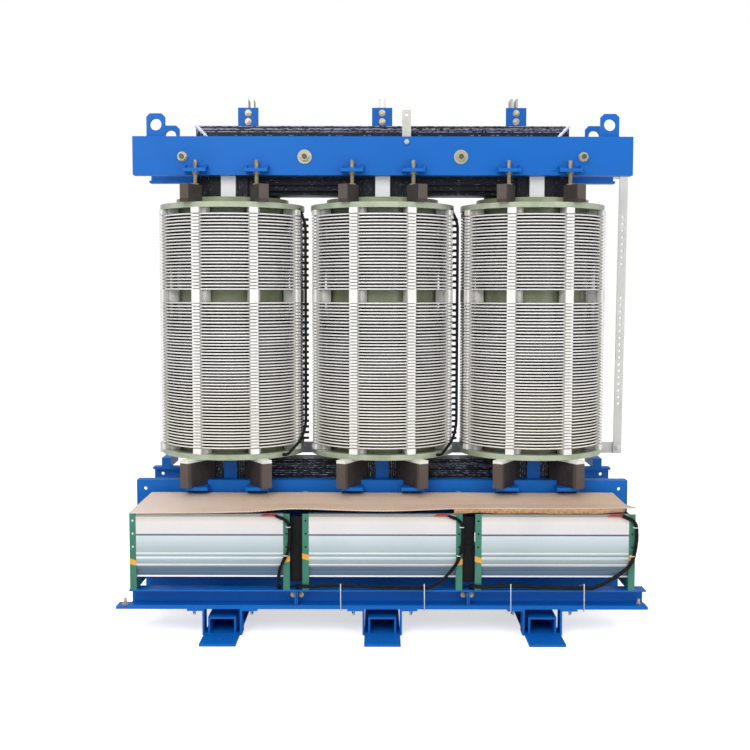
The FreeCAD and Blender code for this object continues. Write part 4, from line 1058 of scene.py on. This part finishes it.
edges = [step * fanPitch + fan["length"] / 2 - fan["flange"] / 2 for step in (-1, 0, 1)]
turnRoom = fan["flange"] + cables["main"]
routes = [(edges[0] - turnRoom, edges[0], edges[0] - turnRoom, cables["bundle"]),
    (edges[1] - 3 * turnRoom, edges[1], -fanPitch / 2, cables["bundle"]),
    (edges[2] - 4 * turnRoom, edges[2] + 0.002, fanPitch / 2 + 0.006, cables["main"])]
bundles, redWires, ties = [], [], []
for number, (drop, edge, end, radius) in enumerate(routes):
    route = cableRoute(drop, edge, end, radius)
    bundles += strandMeshes(route, radius, cables["strand"] * (1.25 if number == 2 else 1.0),
        4 + (number == 2), "blackPlastic", turns=3 + 2 * (number > 0), seed=number)
    head = Vector(route[0])
    for k in range(3):
        reds = [head + Vector((x + k * dx, y, z + k * dz)) for (x, y, z), (dx, dz) in zip(cables["reds"],
            cables["redSteps"])]
        redWires.append(wireMesh(smoothLine(reds, 6), 1.7 * mm, "redResin", sides=8))
    for height in (fanTop - 0.050, fanTop - 0.165):
        x = edge + (0.008 if height > fanTop - 0.1 else -0.003)
        loop = [(x + (radius + 0.002) * math.cos(a), route[1][1] + (radius + 0.0012) * math.sin(a), height)
            for a in [2 * math.pi * k / 14 for k in range(14)]]
        ties.append(wireMesh(loop, 1.6 * mm, "whiteNylon", sides=6, closed=True))
settle("fanBundles", joinMeshes(bundles, materials["blackPlastic"]), ["fan_cables"],
    smooth=60)
settle("redWires", joinMeshes(redWires, materials["redResin"]), smooth=60)
railTies = {"places": (-0.166, 0.1665, 0.5096, 0.8007), "front": 0.472, "above": 30 * mm, "back": 0.377,
    "under": 2 * mm, "over": 3 * mm}
for x in railTies["places"]:
    corners = [(0, "front", railTop + railTies["above"]), (0.001, "front", railLow.z - railTies["under"]),
        (0.001, "back", railLow.z - railTies["under"]), (0, "back", railTop + railTies["over"])]
    loop = [(x + aside, -railTies[depth], height) for aside, depth, height in corners]
    ties.append(wireMesh(loop, 1.8 * mm, "whiteNylon", sides=6, closed=True))
settle("cableTies", joinMeshes(ties, materials["whiteNylon"]), smooth=60)
print("cables done")


# cardboard laid over the front fans
card = {"thickness": 4.2 * mm, "across": 260, "deep": 26, "wave": 3.2 * mm, "backInset": 50 * mm,
    "play": 1 * mm, "rise": 5 * mm, "flute": 0.35 * mm, "flutePitch": 13.5 * mm, "ragged": 4 * mm,
    "liftFade": 2.4, "tornFrom": 0.285, "tornShort": 45 * mm, "tornCount": 340, "tornDrop": 17 * mm,
    "lifts": [(-1.05, 0.0), (-0.72, 0.002), (-0.55, 0.006), (-0.36, 0.019), (0.0, 0.011), (0.36, 0.022),
    (0.70, 0.020), (1.05, 0.025)]}


def cardLift(x):
    # how far the front edge stands off, eased between the given places
    for (first, a), (second, b) in zip(card["lifts"], card["lifts"][1:]):
        if first <= x <= second:
            t = (x - first) / (second - first)
            return a + (b - a) * t * t * (3 - 2 * t)
    return 0.0


def makeCard():
    low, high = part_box("cardboard_cover")
    halfFront = (high.x - low.x) / 2 - 1 * mm
    halfBack = halfFront - card["backInset"]
    form = bmesh.new()
    rows = []
    for j in range(card["deep"] + 1):
        v = j / card["deep"]
        row = []
        for i in range(card["across"] + 1):
            u = i / card["across"] * 2 - 1
            half = halfFront + (halfBack - halfFront) * v
            x = u * half
            y = low.y + card["play"] + (high.y - low.y - 2 * card["play"]) * v
            z = low.z + (high.z - low.z - card["rise"]) * v + 0.0008
            swell = noise.noise(Vector((x * 3.1, y * 4.0, 1.3))) * card["wave"]
            lift = cardLift(x) * max(0.0, 1 - v * card["liftFade"])
            flute = card["flute"] * math.sin(2 * math.pi * x / card["flutePitch"])
            edge = card["ragged"] * noise.noise(Vector((x * 5.0, 3.0, 0.0))) * (1 - v)
            row.append(form.verts.new((x, y + abs(edge), z + abs(swell) * min(1.0, 4 * v) + lift + flute)))
        rows.append(row)
    for first, second in zip(rows, rows[1:]):
        for i in range(card["across"]):
            form.faces.new((first[i], first[i + 1], second[i + 1], second[i]))
    mesh = tidyMesh(form, materials["kraftBoard"])
    made = settle("cardboardSheet", mesh, ["cardboard_cover"], smooth=60)
    thick = made.modifiers.new("thickness", "SOLIDIFY")
    thick.thickness, thick.offset = card["thickness"], 0.0
    return made


makeCard()


def makeCardFlutes():
    # the torn front edge on the right, where the flutes hang open
    low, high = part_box("cardboard_cover")
    form = bmesh.new()
    rows = []
    count, start = card["tornCount"], card["tornFrom"]
    for k in range(count + 1):
        x = start + (high.x - card["tornShort"] - start) * k / count
        top = low.z + cardLift(x) - card["thickness"] / 2
        wave = 0.0022 * (1 + abs((k % 4) - 2))
        bottom = max(low.z + 0.0005, top - card["tornDrop"] + 0.006 * noise.noise(Vector((x * 9, 0.0, 2.0))))
        rows.append([form.verts.new((x, low.y + depth, z)) for depth, z in ((0.0015, top), (wave, bottom),
            (0.020, bottom), (0.020, top))])
    for first, second in zip(rows, rows[1:]):
        for j in range(4):
            form.faces.new((first[j], second[j], second[(j + 1) % 4], first[(j + 1) % 4]))
    form.faces.new(rows[0])
    form.faces.new(rows[-1])
    settle("cardboardFlutes", tidyMesh(form, materials["fluteBoard"]))


makeCardFlutes()
print("cardboard done")


# finishes of the CAD nodes that are shown as they are
sidesOf = ("front", "rear")
cadFinishes = {
    "yokeSteel": ["core_upper_yoke", "core_lower_yoke"],
    "legSteel": ["core_leg_" + side for side in fanEnds],
    "bluePaint": ["upper_clamp_front", "upper_clamp_rear", "lower_clamp_front", "lower_clamp_rear",
        "lifting_lugs",
                  "tie_plates", "foot_hangers", "support_posts", "base_ties", "base_rail_front",
                  "base_rail_rear", "terminal_brackets", "lead_arms"] + ["foot_" + side for side in fanEnds],
    "sleeveBoard": ["tie_sleeves"], "whiteBoard": ["lead_frame"], "padBoard": ["pressing_pads"],
    "blackBoard": ["yoke_boards"], "blockLaminate": ["pressing_blocks"],
    "boltZinc": ["core_bolts"], "threadedZinc": ["jack_bolts"], "castResin": ["lv_windings"],
    "tubeLaminate": ["inner_cylinders"], "ringLaminate": ["end_rings"],
    "fanSkin": ["fan_housings_" + name for name in sidesOf], "greenPaint": ["fan_plates_" + name
        for name in sidesOf],
    "tinnedCopper": ["busbars", "earth_strap"], "redResin": ["terminal_insulators"],
    "blackPlastic": ["hv_leads"],
}
for materialName, nodeNames in cadFinishes.items():
    for nodeName in nodeNames:
        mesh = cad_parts[nodeName].data
        mesh.materials.clear()
        mesh.materials.append(materials[materialName])
        for polygon in mesh.polygons:
            polygon.material_index = 0
print("CAD finishes done")



studio = {"floorSize": 60, "floorColour": (0.9, 0.9, 0.9, 1), "floorGlow": 0.6, "sky": 0.58, "skySeen": 0.42,
    "lens": 55.3, "sensor": 36.0, "camera": (-0.0269, -4.9694, 1.3727), "turns": (0.043, 85.841, 0.082),
    "aim": (0, 0, 1.1), "lamps": {"key": ((-1.8, -5.4, 4.4), 165, 3.5), "fill": ((3.6, -4.8, 2.4), 55, 3.5),
    "top": ((0.0, 0.5, 5.0), 85, 4.0)}}


def makeStage():
    white = (1.0, 1.0, 1.0, 1.0)
    bpy.ops.mesh.primitive_plane_add(size=studio["floorSize"])
    floor = bpy.context.object
    floor.name = "studioFloor"
    floor.location = (0, 0, cadLow.z)
    made, tree, surface = startMaterial("studioFloor")
    surface["Base Color"].default_value = studio["floorColour"]
    surface["Roughness"].default_value = 0.85
    surface["Emission Color"].default_value = white
    seen = addNode(tree, "ShaderNodeLightPath").outputs["Is Camera Ray"]
    link(times(seen, studio["floorGlow"]), surface["Emission Strength"])
    floor.data.materials.append(made)
    world = bpy.data.worlds.new("studio")
    world.use_nodes = True
    background = world.node_tree.nodes["Background"]
    background.inputs[0].default_value = white
    seen = addNode(world.node_tree, "ShaderNodeLightPath").outputs["Is Camera Ray"]
    link(plus(times(seen, studio["skySeen"]), studio["sky"]), background.inputs[1])
    scene.world = world
    for name, (place, power, size) in studio["lamps"].items():
        lamp = bpy.data.lights.new(name, "AREA")
        lamp.energy, lamp.size = power, size
        holder = bpy.data.objects.new(name, lamp)
        scene.collection.objects.link(holder)
        holder.location = place
        holder.rotation_euler = (Vector(studio["aim"]) - Vector(place)).to_track_quat("-Z", "Y").to_euler()
    lens = bpy.data.cameras.new("camera")
    lens.lens, lens.sensor_width = studio["lens"], studio["sensor"]
    camera = bpy.data.objects.new("camera", lens)
    scene.collection.objects.link(camera)
    first, second, third = (Matrix.Rotation(math.radians(angle), 4, axis) for angle,
        axis in zip(studio["turns"], "ZXZ"))
    camera.matrix_world = Matrix.Translation(studio["camera"]) @ first @ second @ third
    scene.camera = camera
    scene.view_settings.view_transform = "Standard"


makeStage()
print("stage done")
